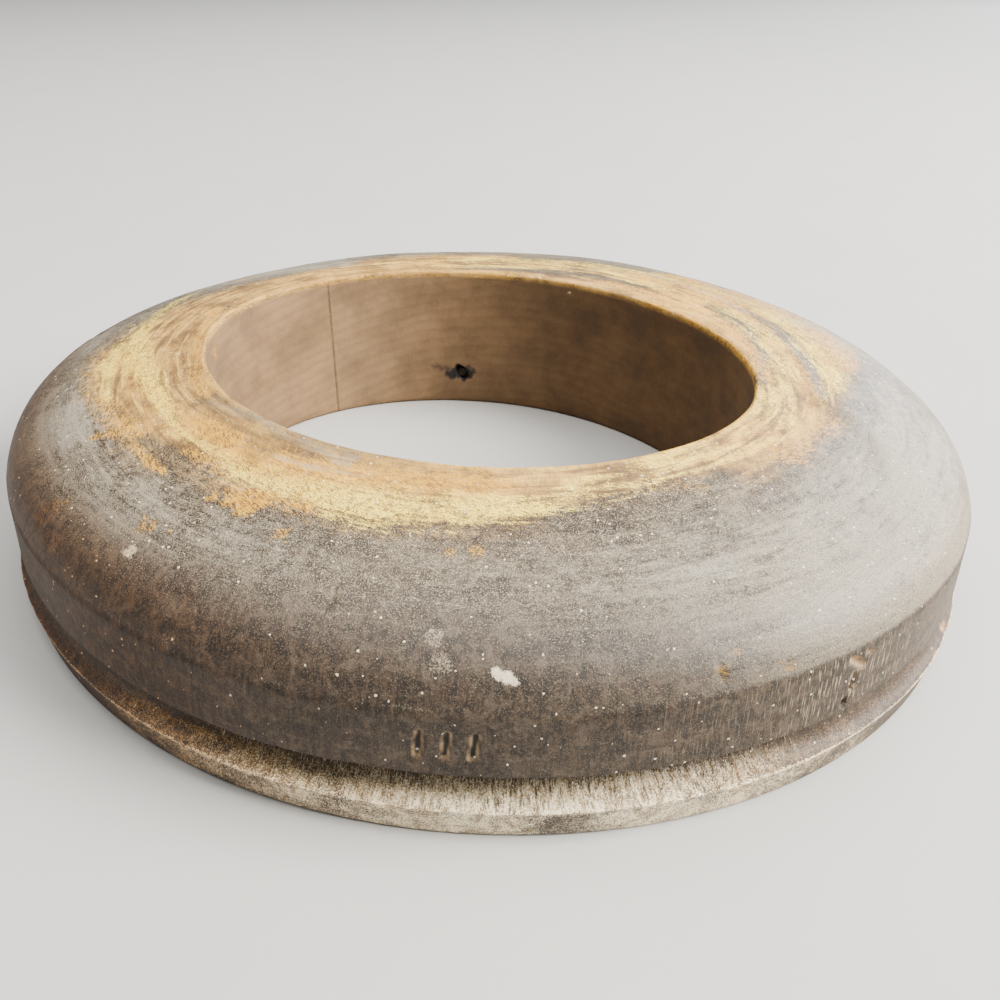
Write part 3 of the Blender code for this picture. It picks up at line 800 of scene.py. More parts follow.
def zones(across):
    """How far each point belongs to each zone of the section."""
    past_shoulder = step(across, AT["band"] - 1.4, AT["band"] + 0.6)
    past_rim = step(across, AT["rim"] - 0.5, AT["rim"])
    under = step(across, AT["under"] - 1.5, AT["under"])
    return {"bore": 1.0 - step(across, AT["top"] - 1.2, AT["top"] - 0.2),
            "top": step(across, AT["top"] - 1.0, AT["top"] + 0.2) * (1.0 - past_shoulder),
            "band": past_shoulder * (1.0 - step(across, AT["groove"] - 0.3, AT["groove"])),
            "groove": step(across, AT["groove"] - 0.2, AT["groove"]) * (1.0 - past_rim),
            "rim": past_rim * (1.0 - under), "under": under}


print(len(STATIONS), "kinds of change round the ring")

# %% [markdown]
# Some of the wear fills a zone of the section, such as the band or the groove, and some follows a stroke or
# a spot from the lists above. `cloud` and `drag` make both uneven. The pale of the groove and the rim also
# lays painted highlights along the rim's edge and the shoulder's crease, "warm" is old brown finish, and
# "scuff" is where the band was scored. The dirt also lays painted shade, and the grey dusting a painted
# sheen.

# %% Wear on every point
def wear(points_mm, normals, share, across, angle):
    """All kinds of wear by name, from 0 to about 1 for every point."""
    here = {name: round_the_ring(azimuth_of(points_mm), stations) for name, stations in STATIONS.items()}
    cloud = fractal(points_mm, 26.0, 101)
    drag = fractal(lay_mm(angle, across), (34.0, 9.0, 1.0), 111)
    on = zones(across)
    end = grain_end(angle)
    # The groove's lower part. Above it the groove is painted dark as shade under the band's overhang.
    cove = on["groove"] * step(across, AT["rim"] - 10.0 + 0.5 * end, AT["rim"] - 6.5 + 4.0 * end)
    arris = hump(across, AT["rim"], 0.7)
    edge = here["rubbed edge"]
    rubbed_top = on["top"] * (1.0 - step(share + 0.05 * cloud + 0.04 * drag, edge - 0.20, edge + 0.16))
    made = {name: np.zeros(len(points_mm)) for name in ("cream", "cut", "pale")}
    made["bore"] = on["bore"]
    made["rubbed"] = (on["bore"] + rubbed_top + on["band"] * 0.10 * (1.0 + drag) + on["rim"] * 0.25
                      + on["groove"] * 0.10 + 0.6 * cove * np.clip(here["cove cream"] * 1.6, 0.0, 1.0)
                      + on["under"] * 0.85)
    # Painted highlight: a pale line along the shoulder's crease, partly a rubbed edge.
    crease = hump(across, AT["band"] - 0.9, 0.8)
    # Bleached groove and rim, with painted highlights along the rim's edge and the crease.
    made["bleach_and_highlight"] = np.maximum.reduce([
        cove * here["cove cream"] + on["rim"] * here["rim cream"] * np.clip(1.0 + 0.8 * cloud, 0.3, 1.6),
        arris * here["arris wear and highlight"], 0.20 * crease * np.clip(0.7 + 1.2 * drag, 0.0, 1.3)])
    below = np.clip(on["band"] + on["groove"] + on["rim"] + on["top"] * step(share, 0.70, 1.0), 0.0, 1.0)
    made["warm"] = np.maximum(below * here["warm brown"], 0.55 * cove * here["cove grime and shade"])
    made["scuff"] = on["band"] * here["scuffs"]
    border = hump(share, edge - 0.03 - 0.04 * cloud, 0.055)
    lip = hump(across, AT["top"] + 1.0, 1.6)
    made["ochre"] = (on["top"] * lip * 0.30 * np.clip(0.8 + cloud, 0.0, 1.4)
                     + rubbed_top * here["ochre"] * step(cloud + drag, -0.4, 0.8)
                     + on["top"] * border * here["ochre border"] * step(cloud + drag, -0.2, 0.5))
    uneven = 1.0 + (0.25 + 0.9 * step(-points_mm[:, 0], -10.0, 80.0)) * cloud + 0.5 * drag
    # A grey dusting, which at the front right paints the sheen of a soft highlight.
    made["dust_and_sheen"] = ((on["top"] - rubbed_top) * here["dust_and_sheen"] * step(share, 0.20, 0.60)
                    * np.clip(uneven, 0.0, 1.7))
    # Dirt, and painted shade: the groove above its pale lower part, a line under the shoulder, the low top,
    # the band, the right wall of the opening and the left rim.
    made["soil_and_shade"] = (on["band"] * here["band grime and shade"] * np.clip(1.0 + 0.3 * cloud, 0.0, 1.4)
                    + on["top"] * step(share, 0.56, 0.96) * here["low painted shade"] * 0.6
                    + on["groove"] - cove * (1.0 - here["cove grime and shade"])
                    + 0.6 * hump(across, AT["band"] + 0.7, 1.0) * here["band grime and shade"]
                    + on["bore"] * here["bore grime and shade"] + on["rim"] * here["rim grime and shade"] * (1.0 - arris)
                    + on["under"] * 0.15 + on["top"] * hump(share, 0.0, 0.12) * here["lip soil"])
    made["torn"] = (step(across, AT["groove"] - 0.3, AT["groove"] + 0.5) * (1.0 - on["rim"])
                    * (1.0 - on["under"]) * here["torn"])
    made["iron"] = iron_stain(points_mm)
    for kind, amount, corners in STREAKS:
        left = on["top"] * amount * stroke(points_mm, corners, cloud + drag)
        if kind == "skin":
            made["rubbed"] *= 1.0 - left
            made["cream"] *= 1.0 - 0.7 * left
        else:
            made[kind] = np.maximum(made[kind], left)
    add_spots(made, points_mm, normals)
    struck = struck_strokes(points_mm, across)
    made["cut"] = np.maximum(made["cut"], 2.4 * struck * (1.0 - struck))
    cracked = np.minimum.reduce([line_distance(points_mm, line) for line in CRACKS])
    # Cracks, and painted shade at the bottoms of the struck strokes, which are drawn as dark as a crack.
    made["crack_and_stroke_shade"] = np.minimum(cracked, 0.14 + 0.9 * (1.0 - struck))
    return made


def add_spots(made, points_mm, normals):
    """Lays the spots and the chips from the lists of marks over the wear."""
    for centre, radius, amount in PALE_SPOTS:
        name = "pale" if radius < LARGEST_PALE_SPOT else "dust_and_sheen"
        made[name] = np.maximum(made[name], amount * spot(points_mm, centre, radius, 0.5, 7))
    for centre, radius, amount in OCHRE_SPOTS:
        patch = amount * spot(points_mm, centre, radius, 0.7, 13)
        made["ochre"] = np.maximum(made["ochre"], patch)
        made["dust_and_sheen"] *= 1.0 - 0.8 * patch
    for centre, radius, amount in DARK_SPOTS:
        made["soil_and_shade"] = np.maximum(made["soil_and_shade"], amount * spot(points_mm, centre, radius, 0.5, 17))
    for centre, half_sizes, depth, turn in CHIPS:
        inside = hollow(points_mm, normals, centre, half_sizes, 1.0, turn, True)
        if depth < DEEP_CHIP:
            made["cut"] = np.maximum(made["cut"], 0.8 * inside)
        else:
            made["soil_and_shade"] = np.maximum(made["soil_and_shade"], inside)


def iron_stain(points_mm):
    """Blue-black stain that ran from the nail along the bore's wall."""
    gap = points_mm - NAIL_MOUTH
    away = np.hypot(gap[:, 0] / 1.6, gap[:, 2]) * (1.0 + 0.45 * noise(points_mm, 2.6, 133))
    left = -gap[:, 0]
    run = np.clip(left / 19.0, 0.0, 1.0)
    streak = hump(gap[:, 2], 4.0 * run - 1.2 * noise(points_mm, 4.0, 131), 1.6 + 1.5 * run)
    streak = streak * step(left, -1.0, 2.0) * (1.0 - step(left, 9.0, 20.0)) * 0.55
    near = 1.0 - step(away, 2.4, 5.4)
    return np.where(np.abs(gap[:, 1]) < NAIL_REACH, np.maximum(near, streak), 0.0)


# %% [markdown]
# ## Making the boards
# Each board is its own piece, as in the glued-up blank. Its strip is bent round the oval a little longer
# than it needs to be, trimmed on the planes of the glue joints, given its relief, and then closed at the
# ends. A Boolean would cut it too, but trimming by a plane is quicker and keeps the even grid.

# %% Boards
BOARDS = {
    "left_plank": {"low": None, "high": -JOINT_X, "toward": -math.pi, "columns": 400},
    "middle_front_block": {"low": -JOINT_X, "high": JOINT_X, "toward": -0.5 * math.pi, "columns": 380},
    "middle_rear_block": {"low": -JOINT_X, "high": JOINT_X, "toward": 0.5 * math.pi, "columns": 380},
    "right_plank": {"low": JOINT_X, "high": None, "toward": 0.0, "columns": 400},
}
OVERSHOOT = 0.02
SURELY_TOP = 50.0 * MM


def board_angles(low, high, toward, columns):
    """Even angles that cover the board between its joints on every loop, and a little more."""
    unrolled = toward + np.mod(HOOP_ANGLES - toward + math.pi, math.tau) - math.pi
    wanted = np.zeros(len(unrolled), dtype=bool)
    for points in (FOOT_HOOP, BORE_HOOP, RIM_HOOP - MIDDLE):
        inside = np.ones(len(points), dtype=bool)
        if low is not None:
            inside &= points[:, 0] > low
        if high is not None:
            inside &= points[:, 0] < high
        if low is not None and high is not None:
            inside &= points[:, 1] * math.sin(toward) > 0.0
        wanted |= inside
    return np.linspace(unrolled[wanted].min() - OVERSHOOT, unrolled[wanted].max() + OVERSHOOT, columns)


def trim(mesh, low, high):
    """Cuts the mesh on the planes of its joints and leaves the cut open."""
    bm = bmesh.new()
    bm.from_mesh(mesh)
    for plane, facing in ((low, -1.0), (high, 1.0)):
        if plane is not None:
            everything = bm.verts[:] + bm.edges[:] + bm.faces[:]
            at = (plane - facing * 0.5 * JOINT_HAIRLINE, 0.0, 0.0)
            bmesh.ops.bisect_plane(bm, geom=everything, dist=1e-7, plane_co=at, plane_no=(facing, 0.0, 0.0),
                                   clear_outer=True)
    bm.to_mesh(mesh)
    bm.free()


def floats(mesh, name):
    """A float attribute of the mesh's points as an array."""
    values = np.empty(len(mesh.vertices), dtype=np.float32)
    mesh.attributes[name].data.foreach_get("value", values)
    return values.astype(float)


def keep_facing(mesh):
    """Turns the faces outwards and keeps each point's normal as an attribute, which a cut interpolates."""
    high_up = vertex_array(mesh)[:, 2] > SURELY_TOP
    if vectors_of(mesh.vertex_normals, "vector")[high_up, 2].sum() < 0.0:
        mesh.flip_normals()
    store(mesh, "facing", vectors_of(mesh.vertex_normals, "vector"))


def close_ends(mesh):
    """Fills the open cuts and checks that the board is one closed skin."""
    bm = bmesh.new()
    bm.from_mesh(mesh)
    rims = [e for e in bm.edges if e.is_boundary]
    filled = bmesh.ops.holes_fill(bm, edges=rims, sides=0)["faces"]
    bmesh.ops.triangulate(bm, faces=filled)
    bmesh.ops.recalc_face_normals(bm, faces=bm.faces[:])
    still_open = sum(not e.is_manifold for e in bm.edges)
    bm.to_mesh(mesh)
    bm.free()
    return still_open


def make_board(name, low, high, toward, columns):
    """One board of the block, with its relief and its wear attributes."""
    angles = board_angles(low, high, toward, columns)
    outward, height, row_share, row_across = section_arrays(angles)
    flat = strip_mesh(name + "_flat", angles, outward, height, row_share, row_across / MM, True)
    mesh = through_tree(flat, BEND, Middle_X=float(MIDDLE[0]), Middle_Y=float(MIDDLE[1]))
    keep_facing(mesh)
    trim(mesh, low, high)
    points = vertex_array(mesh)
    normals = vectors_of(mesh.attributes["facing"].data, "vector").astype(float)
    normals /= np.linalg.norm(normals, axis=1)[:, None]
    share, across, angle = (floats(mesh, label) for label in ("share", "across", "angle"))
    lift = relief_mm(points / MM, normals, across, angle)
    at_joint = np.zeros(len(points), dtype=bool)
    for plane in (low, high):
        if plane is not None:
            at_joint |= np.abs(points[:, 0] - plane) < 0.6 * JOINT_HAIRLINE
    kept = normals.copy()
    kept[at_joint, 0] = 0.0
    points += kept * lift[:, None] * MM
    points[:, 2] = np.maximum(points[:, 2], 0.0)
    mesh.vertices.foreach_set("co", points.astype(np.float32).ravel())
    for label, values in wear(points / MM, normals, share, across, angle).items():
        store(mesh, label, values)
    store(mesh, "lay", lay_mm(angle, across) * MM)
    still_open = close_ends(mesh)
    mesh.shade_smooth()
    mesh.set_sharp_from_angle(angle=math.radians(70))
    piece = into_scene(name + "_worn", mesh)
    triangles = sum(len(p.vertices) - 2 for p in mesh.polygons)
    print(f"{piece.name}: {triangles} triangles, {still_open} open edges")
    return piece


boards = {name: make_board(name, **facts) for name, facts in BOARDS.items()}

# %% [markdown]
# ## The wood
# The block is a mild brown hardwood gone grey where nothing rubs it. The finish could be one painted
# image, but then it would belong to one mesh. Here it is built as the real thing was: first the wood
# with its rings, fibres and pores, which lie the same way in every board, then the grey skin, then what
# use left on top of it. What use left is a mix whose mask is a wear attribute broken up by noise.

# %% Shader helpers
WEAR = ("rubbed", "bore", "cream", "ochre", "soil_and_shade", "dust_and_sheen", "bleach_and_highlight", "torn", "pale", "iron", "cut", "crack_and_stroke_shade",
        "warm", "scuff")
MIX_AMOUNT_BELOW_ABOVE = (0, 6, 7)
MIX_COLOUR = 2


class Paint(Tree):
    """Tree with the few shader steps that the finishes share."""

    def attribute(self, name, output="Fac"):
        """An attribute of the mesh's points."""
        return self.node("ShaderNodeAttribute", {"attribute_name": name}).outputs[output]

    def sized(self, place, x, y, z):
        """The place in units of so many mm along each axis."""
        return self.vectors("MULTIPLY", place, (1.0 / (x * MM), 1.0 / (y * MM), 1.0 / (z * MM)))

    def cloud(self, place, detail=3.0, rough=0.5, warp=0.0):
        """Noise from 0 to 1, one lump to each unit of the place."""
        return self.node("ShaderNodeTexNoise", Vector=place, Scale=1.0, Detail=detail, Roughness=rough,
                         Distortion=warp).outputs["Fac"]

    def swing(self, noise, reach):
        """Noise turned into a swing either way of 0."""
        return self.times(self.less(noise, 0.5), reach)

    def broken(self, amount, rough, reach, soft):
        """A mask whose half-way line wanders with the noise, so that it looks worn and not sprayed."""
        pushed = self.add(amount, self.swing(rough, reach * 2.0))
        return self.times(self.between(pushed, 0.5 - soft, 0.5 + soft), self.between(amount, 0.0, 0.2))

    def mix(self, amount, below, above, blend="MIX"):
        """One colour over another."""
        made = self.node("ShaderNodeMix", {"data_type": "RGBA", "blend_type": blend})
        for number, value in zip(MIX_AMOUNT_BELOW_ABOVE, (amount, below, above)):
            self.feed(made.inputs[number], value)
        return made.outputs[MIX_COLOUR]

    def coated(self, n, colour, coats):
        """Coats laid over a colour: each has a noise, limits if it needs any, its most and its colour."""
        for noise, *limits, most, above in coats:
            amount = self.between(n[noise], *limits, 0.0, most) if limits else self.times(n[noise], most)
            colour = self.mix(amount, colour, srgb(*above))
        return colour

    def colour(self, n, name):
        """A colour from the table below: two tones blended by a noise, with coats over them."""
        (noise, low, high, first, second), *coats = COLOURS[name]
        return self.coated(n, self.mix(self.between(n[noise], low, high), srgb(*first), srgb(*second)), coats)

    def surface(self, colour, **sockets):
        """A plain surface of this colour, joined to the material's output."""
        shader = self.node("ShaderNodeBsdfPrincipled", Base_Color=colour, **sockets)
        self.node("ShaderNodeOutputMaterial", Surface=shader.outputs[0])


def blank_material(name):
    """A new material, the means to fill its empty tree, and the place on the piece."""
    material = bpy.data.materials.new(name)
    material.use_nodes = True
    material.node_tree.nodes.clear()
    t = Paint(material.node_tree)
    return material, t, t.node("ShaderNodeTexCoord").outputs["Object"]


# %% [markdown]
# A worn colour is never one colour. Each one below starts as two tones that a noise blends, and goes on
# with coats: which noise lays the coat on, from where to where, how much of it at most, and its colour. A
# coat whose limits run downwards fills the hollows of its noise. The numbers are those of a paint chart.

# %% The colours
COLOURS = {
    "grey skin": (
        ("mottle", 0.38, 0.62, (52, 41, 31), (84, 72, 57)),
        ("sweep", 0.53, 0.62, 0.55, (122, 109, 89)), ("sweep", 0.46, 0.38, 0.55, (34, 25, 17)),
        ("patch", 0.51, 0.60, 0.40, (122, 109, 89)), ("patch", 0.48, 0.40, 0.48, (34, 25, 17)),
        ("grit", 0.54, 0.63, 0.38, (122, 109, 89)), ("grit", 0.46, 0.38, 0.45, (34, 25, 17)),
        ("fibre", 0.50, 0.80, 0.30, (44, 33, 23)), ("grain", 0.46, 0.36, 0.70, (28, 20, 13)),
        ("grain", 0.56, 0.67, 0.65, (180, 166, 138))),
    "bare wood": (
        ("mottle", 0.38, 0.62, (112, 82, 40), (196, 152, 74)),
        ("sweep", 0.49, 0.38, 0.70, (84, 61, 35)), ("sweep", 0.52, 0.62, 0.65, (224, 180, 88)),
        ("patch", 0.47, 0.40, 0.40, (86, 64, 40)), ("ring", 0.14, (96, 68, 36)),
        ("fibre", 0.45, 0.75, 0.45, (84, 60, 32))),
    "bore": (("mottle", 0.3, 0.7, (123, 97, 67), (150, 120, 84)),),
    # The darker bore is dirt, and painted shade on the right-hand wall of the opening.
    "soiled and shaded bore": (("mottle", 0.3, 0.7, (46, 28, 9), (80, 54, 24)),),
    "cream": (
        ("fray", 0.10, 0.68, (168, 114, 36), (255, 226, 84)), ("grain", 0.47, 0.37, 0.70, (126, 90, 44))),
    "ochre": (("fray", 0.15, 0.80, (130, 82, 16), (222, 164, 26)),),
    # The dark of dirt, which also serves as painted shade.
    "soil_and_shade": (
        ("streak", 0.40, 0.60, (24, 16, 10), (54, 40, 28)),
        ("patch", 0.51, 0.62, 0.50, (88, 74, 62)), ("patch", 0.47, 0.39, 0.82, (15, 9, 4)),
        ("grit", 0.54, 0.64, 0.40, (86, 73, 60)), ("grit", 0.45, 0.37, 0.50, (14, 9, 5)),
        ("grain", 0.56, 0.67, 0.28, (116, 98, 76))),
    "bleached": (
        ("patch", 0.42, 0.58, (150, 126, 92), (246, 226, 182)),
        ("grain", 0.47, 0.37, 0.75, (96, 76, 52)), ("grain", 0.54, 0.64, 0.75, (255, 246, 222))),
    "torn fibre": (("bristle", 0.37, 0.50, (48, 34, 22), (238, 224, 188)),),
    "fresh wood": (("grit", 0.35, 0.65, (150, 118, 80), (206, 176, 132)),),
}
BORE_GRAIN = (("ring", 0.16, (76, 52, 27)), ("fibre", 0.4, 0.8, 0.22, (68, 47, 26)))
print(len(COLOURS), "colours")

# %% [markdown]
# Growth rings are shells round the heart of the tree. In a board they are planes or arcs that run along
# its length, so one distance from a line gives them on every face: stripes along the grain, and arcs on
# the end grain. A wave texture gives stripes too, but not the arcs on the ends. Scratches are noise
# squeezed to a hair in one direction and turned, three times over, and the specks are small ragged cells.

# %% Rings, scratches and specks
YEAR = 4.3 * MM
YEAR_UNEVEN = 2.4 * MM
HEART_WANDER = 6.0 * MM
SCRATCH_TURNS = (0.15, 0.75, -0.6)


def growth_rings(t, place, heart):
    """0 in the pale wood of spring and 1 in the dark line that ends each year."""
    warp = t.less(t.cloud(t.sized(place, 34.0, 150.0, 34.0), 3.0), 0.5)
    apart = t.node("ShaderNodeSeparateXYZ", Vector=place).outputs
    off = [t.add(t.less(apart[axis], at), t.times(warp, HEART_WANDER)) for axis, at in zip((0, 2), heart)]
    radius = t.maths("SQRT", t.add(t.times(off[0], off[0]), t.times(off[1], off[1])))
    uneven = t.times(t.cloud(t.sized(place, 9.0, 60.0, 9.0), 1.0), YEAR_UNEVEN)
    season = t.maths("FRACT", t.times(t.add(radius, uneven), 1.0 / YEAR))
    return t.times(t.between(season, 0.2, 0.9), t.between(season, 1.0, 0.9))


def turned(t, place, angle, centre=(0.0, 0.0, 0.0)):
    """The place turned in its own plane."""
    return t.node("ShaderNodeVectorRotate", {"rotation_type": "Z_AXIS"}, Vector=place, Center=centre,
                  Angle=angle).outputs[0]


def scratches(t, lay):
    """Thin pale lines, each set turned another way."""
    found = None
    for number, angle in enumerate(SCRATCH_TURNS):
        slanted = turned(t, lay, angle, (0.37 * number, 0.11 * number, 0.0))
        hair = t.between(t.cloud(t.sized(slanted, 5.5, 0.30, 1.0), 1.0), 0.66, 0.76)
        patch = t.between(t.cloud(t.sized(slanted, 16.0, 11.0, 1.0), 1.0), 0.48, 0.62)
        line = t.times(hair, patch)
        found = line if found is None else t.maths("MAXIMUM", found, line)
    return found


def flecked(t, place, outside, colour):
    """The colour with small specks of dusting and of size on it."""
    rough = t.node("ShaderNodeTexNoise", Vector=place, Scale=1.0 / (0.5 * MM)).outputs["Color"]
    frayed = t.vectors("MULTIPLY_ADD", rough, (0.35, 0.35, 0.35), t.sized(place, 1.5, 1.5, 1.5))
    cells = t.node("ShaderNodeTexVoronoi", Vector=frayed, Scale=1.0)
    chance = t.node("ShaderNodeSeparateColor", Color=cells.outputs["Color"]).outputs
    size = t.between(chance[0], 0.80, 1.0, 0.0, 0.24)
    speck = t.times(t.maths("LESS_THAN", cells.outputs["Distance"], size), outside)
    light = t.mix(t.maths("GREATER_THAN", chance[1], 0.25), srgb(54, 40, 28), srgb(228, 216, 190))
    return t.mix(t.times(speck, 0.8), colour, light)


# %% [markdown]
# Each board's finish draws on the same few noises. Some lie in the wood and some follow the lay of the
# ring, as `sweep` does with its long strokes. Three are blends: `rag` breaks up the edges of dirt and
# dust, `fray` what was rubbed bare fibre by fibre, and `speckle` the bleached groove. A blend is added up
# and then stretched to full contrast, because noises that are only averaged turn to mush.

# %% Noises of one board
DASH_TURN = -0.38
NOISES = {
    "fibre": ("wood", (0.5, 12.0, 0.5), 2.0, 0.6), "mottle": ("wood", (15.0, 19.0, 15.0), 6.0, 0.66),
    "patch": ("wood", (5.0, 6.0, 5.0), 6.0, 0.72, 0.8), "grain": ("wood", (0.36, 0.40, 0.36), 1.0, 0.7),
    "grit": ("wood", (2.0, 2.4, 2.0), 4.0, 0.70), "drag": ("lay", (9.0, 1.5, 1.0), 5.0, 0.74),
    "sweep": ("lay", (30.0, 2.8, 1.0), 5.0, 0.66, 0.5), "streak": ("lay", (0.9, 8.0, 1.0), 3.0, 0.6),
    "bristle": ("lay", (0.5, 3.5, 1.0), 3.0, 0.7), "dash": ("slant", (3.2, 0.60, 1.0), 3.0, 0.7),
}
BLENDS = {
    "rag": (4.2, ("drag", 0.50), ("patch", 0.30), ("grit", 0.20)),
    "fray": (5.4, ("grain", 0.26), ("dash", 0.50), ("grit", 0.24)),
    "speckle": (5.0, ("grain", 0.45), ("bristle", 0.25), ("grit", 0.30)),
}


def wood_noises(t, place, lay):
    """The noises that every layer of the finish draws on, by name."""
    spaces = {"wood": place, "lay": lay, "slant": turned(t, lay, DASH_TURN)}
    made = {name: t.cloud(t.sized(spaces[space], *size), *rest)
            for name, (space, size, *rest) in NOISES.items()}
    for name, (contrast, *parts) in BLENDS.items():
        first, second, third = (t.times(made[part], share) for part, share in parts)
        mixed = t.less(t.add(first, t.add(second, third)), 0.5)
        made[name] = t.maths("MULTIPLY_ADD", mixed, contrast, 0.5, clamp=True)
    made["drift"] = t.add(t.add(t.less(made["mottle"], 0.5), t.swing(made["sweep"], 1.9)),
                          t.swing(made["drag"], 1.1))
    return made


# %% [markdown]
# The layers go on in the order in which they came to the block. Rubbing bares the wood and polishes it
# to cream and ochre, dirt and a grey dusting settle, the groove bleaches, and the knocks come last. Some
# layers also lay painted shade, painted highlights and a painted sheen.

# %% Layers that use left
def rubbed_wood(t, n, worn):
    """The skin, the bare wood and the bore, with the cream and the ochre of the ring that is rubbed most."""
    rubbed = t.broken(worn["rubbed"], n["fray"], 0.34, 0.40)
    colour = t.mix(rubbed, t.colour(n, "grey skin"), t.colour(n, "bare wood"))
    bore = t.mix(worn["soil_and_shade"], t.colour(n, "bore"), t.colour(n, "soiled and shaded bore"))
    colour = t.mix(worn["bore"], colour, t.coated(n, bore, BORE_GRAIN))
    bright = t.add(t.times(worn["cream"], 0.78), t.times(n["drift"], t.between(worn["cream"], 0.0, 0.3)))
    colour = t.mix(t.times(t.broken(bright, n["fray"], 0.46, 0.30), 0.94), colour, t.colour(n, "cream"))
    ochre = t.times(t.broken(worn["ochre"], n["fray"], 0.56, 0.36), 0.70)
    return t.mix(ochre, colour, t.colour(n, "ochre"))


def settled(t, n, worn, lay, outside, colour):
    """A grey dusting that also paints a sheen, scratches, packed dirt that also paints shade, and the
    bleached groove and rim with painted highlights.
    """
    dust_and_sheen_cover = t.add(worn["dust_and_sheen"], t.times(n["drift"], t.between(worn["dust_and_sheen"], 0.0, 0.8, 0.0, 0.7)))
    dust_and_sheen_cover = t.times(t.broken(dust_and_sheen_cover, n["rag"], 0.28, 0.44), t.between(n["grain"], 0.36, 0.60, 0.40, 0.92))
    dust_and_sheen_cover = t.times(dust_and_sheen_cover, t.between(n["dash"], 0.40, 0.56, 0.72, 1.0))
    # Pale grey where dusted, which also paints the sheen at the front right.
    colour = t.mix(dust_and_sheen_cover, colour, srgb(152, 144, 128))
    colour = t.mix(t.times(scratches(t, lay), t.times(0.55, outside)), colour, srgb(212, 198, 168))
    dirt_and_shade = t.broken(t.add(worn["soil_and_shade"], t.swing(n["mottle"], 0.4)), n["rag"], 0.22, 0.5)
    # The dark of dirt, which also lays the painted shade.
    colour = t.mix(t.times(dirt_and_shade, t.times(0.90, outside)), colour, t.colour(n, "soil_and_shade"))
    faded_and_highlight = t.add(t.times(worn["bleach_and_highlight"], 0.9), t.swing(n["mottle"], 1.2))
    faded_and_highlight = t.times(t.broken(faded_and_highlight, n["speckle"], 0.36, 0.40), t.between(worn["bleach_and_highlight"], 0.04, 0.45))
    # The bleached pale, which also lays painted highlights on the rim's edge and the crease.
    return t.mix(faded_and_highlight, colour, t.colour(n, "bleached"))


def knocked(t, n, worn, lay, outside, colour):
    """Torn fibre, fresh cuts, pale spots, the nail's stain, cracks with painted shade in the struck strokes,
    and the scores on the band.
    """
    strands = t.between(t.maths("ABSOLUTE", t.less(n["bristle"], 0.5)), 0.02, 0.10, 0.0, 0.80)
    fibre = t.mix(worn["soil_and_shade"], t.colour(n, "torn fibre"), srgb(44, 31, 20))
    colour = t.mix(t.times(worn["torn"], strands), colour, fibre)
    marked = t.times(t.between(n["dash"], 0.53, 0.61), t.between(worn["cream"], 0.15, 0.7, 0.12, 0.90))
    colour = t.mix(t.times(marked, outside), colour, srgb(74, 52, 27))
    colour = t.mix(t.times(worn["cut"], 0.85), colour, t.colour(n, "fresh wood"))
    pale = t.times(t.broken(worn["pale"], n["speckle"], 0.24, 0.22),
                   t.between(worn["pale"], 0.3, 1.0, 0.30, 0.92))
    colour = t.mix(pale, colour, srgb(218, 204, 174))
    colour = t.mix(t.broken(worn["iron"], n["grit"], 0.6, 0.4), colour, srgb(20, 16, 15))
    # Dark cracks, and painted shade at the bottoms of the struck strokes.
    colour = t.mix(t.between(worn["crack_and_stroke_shade"], 0.5, 0.12), colour, srgb(20, 14, 10))
    score = t.between(t.cloud(t.sized(lay, 0.34, 6.0, 1.0), 2.0), 0.56, 0.68)
    return t.mix(t.times(score, t.times(worn["scuff"], 0.55)), colour, srgb(186, 170, 144))


# %% [markdown]
# The finish ties the layers together. Specks, the warm brown of old finish, the glue line and the tone
# of the board go over all of them, and the shine follows the wear: dirt is duller than a rubbed surface.

# %% The wood's finish
def weathered_wood(name, heart, tone):
    """The finish of one board. heart is the x and z in metres of the middle of its rings."""
    material, t, place = blank_material(name)
    lay = t.attribute("lay", "Vector")
    worn = {label: t.attribute(label) for label in WEAR}
    n = wood_noises(t, place, lay)
    n["ring"] = growth_rings(t, place, heart)
    outside = t.less(1.0, worn["bore"])
    colour = settled(t, n, worn, lay, outside, rubbed_wood(t, n, worn))
    colour = flecked(t, place, outside, knocked(t, n, worn, lay, outside, colour))
    colour = t.mix(worn["warm"], colour, srgb(242, 196, 136), "MULTIPLY")
    joint = t.maths("ABSOLUTE", t.add(t.node("ShaderNodeSeparateXYZ", Vector=place).outputs[0], JOINT_X))
    glue = t.times(t.between(joint, 0.7 * MM, 0.15 * MM), worn["bore"])
    colour = t.mix(t.times(glue, t.between(n["grit"], 0.3, 0.6, 0.30, 0.7)), colour, srgb(60, 40, 24))
    colour = t.mix(1.0, colour, tone, "MULTIPLY")

    rough = t.between(t.add(worn["rubbed"], t.times(n["grain"], 0.5)), 0.2, 1.3, 0.36, 0.60)
    rough = t.add(rough, t.add(t.times(worn["dust_and_sheen"], 0.06), t.times(worn["soil_and_shade"], 0.28)))
    lift = t.add(t.times(n["fibre"], 0.2), t.add(t.times(n["grit"], 0.7), t.times(n["grain"], 0.5)))
    lift = t.add(t.less(lift, t.times(n["ring"], 0.06)), t.times(n["drag"], 0.35))
    bump = t.node("ShaderNodeBump", Strength=0.7, Distance=0.28 * MM, Height=lift).outputs[0]
    t.surface(colour, Roughness=rough, Normal=bump, IOR=1.45)
    return material


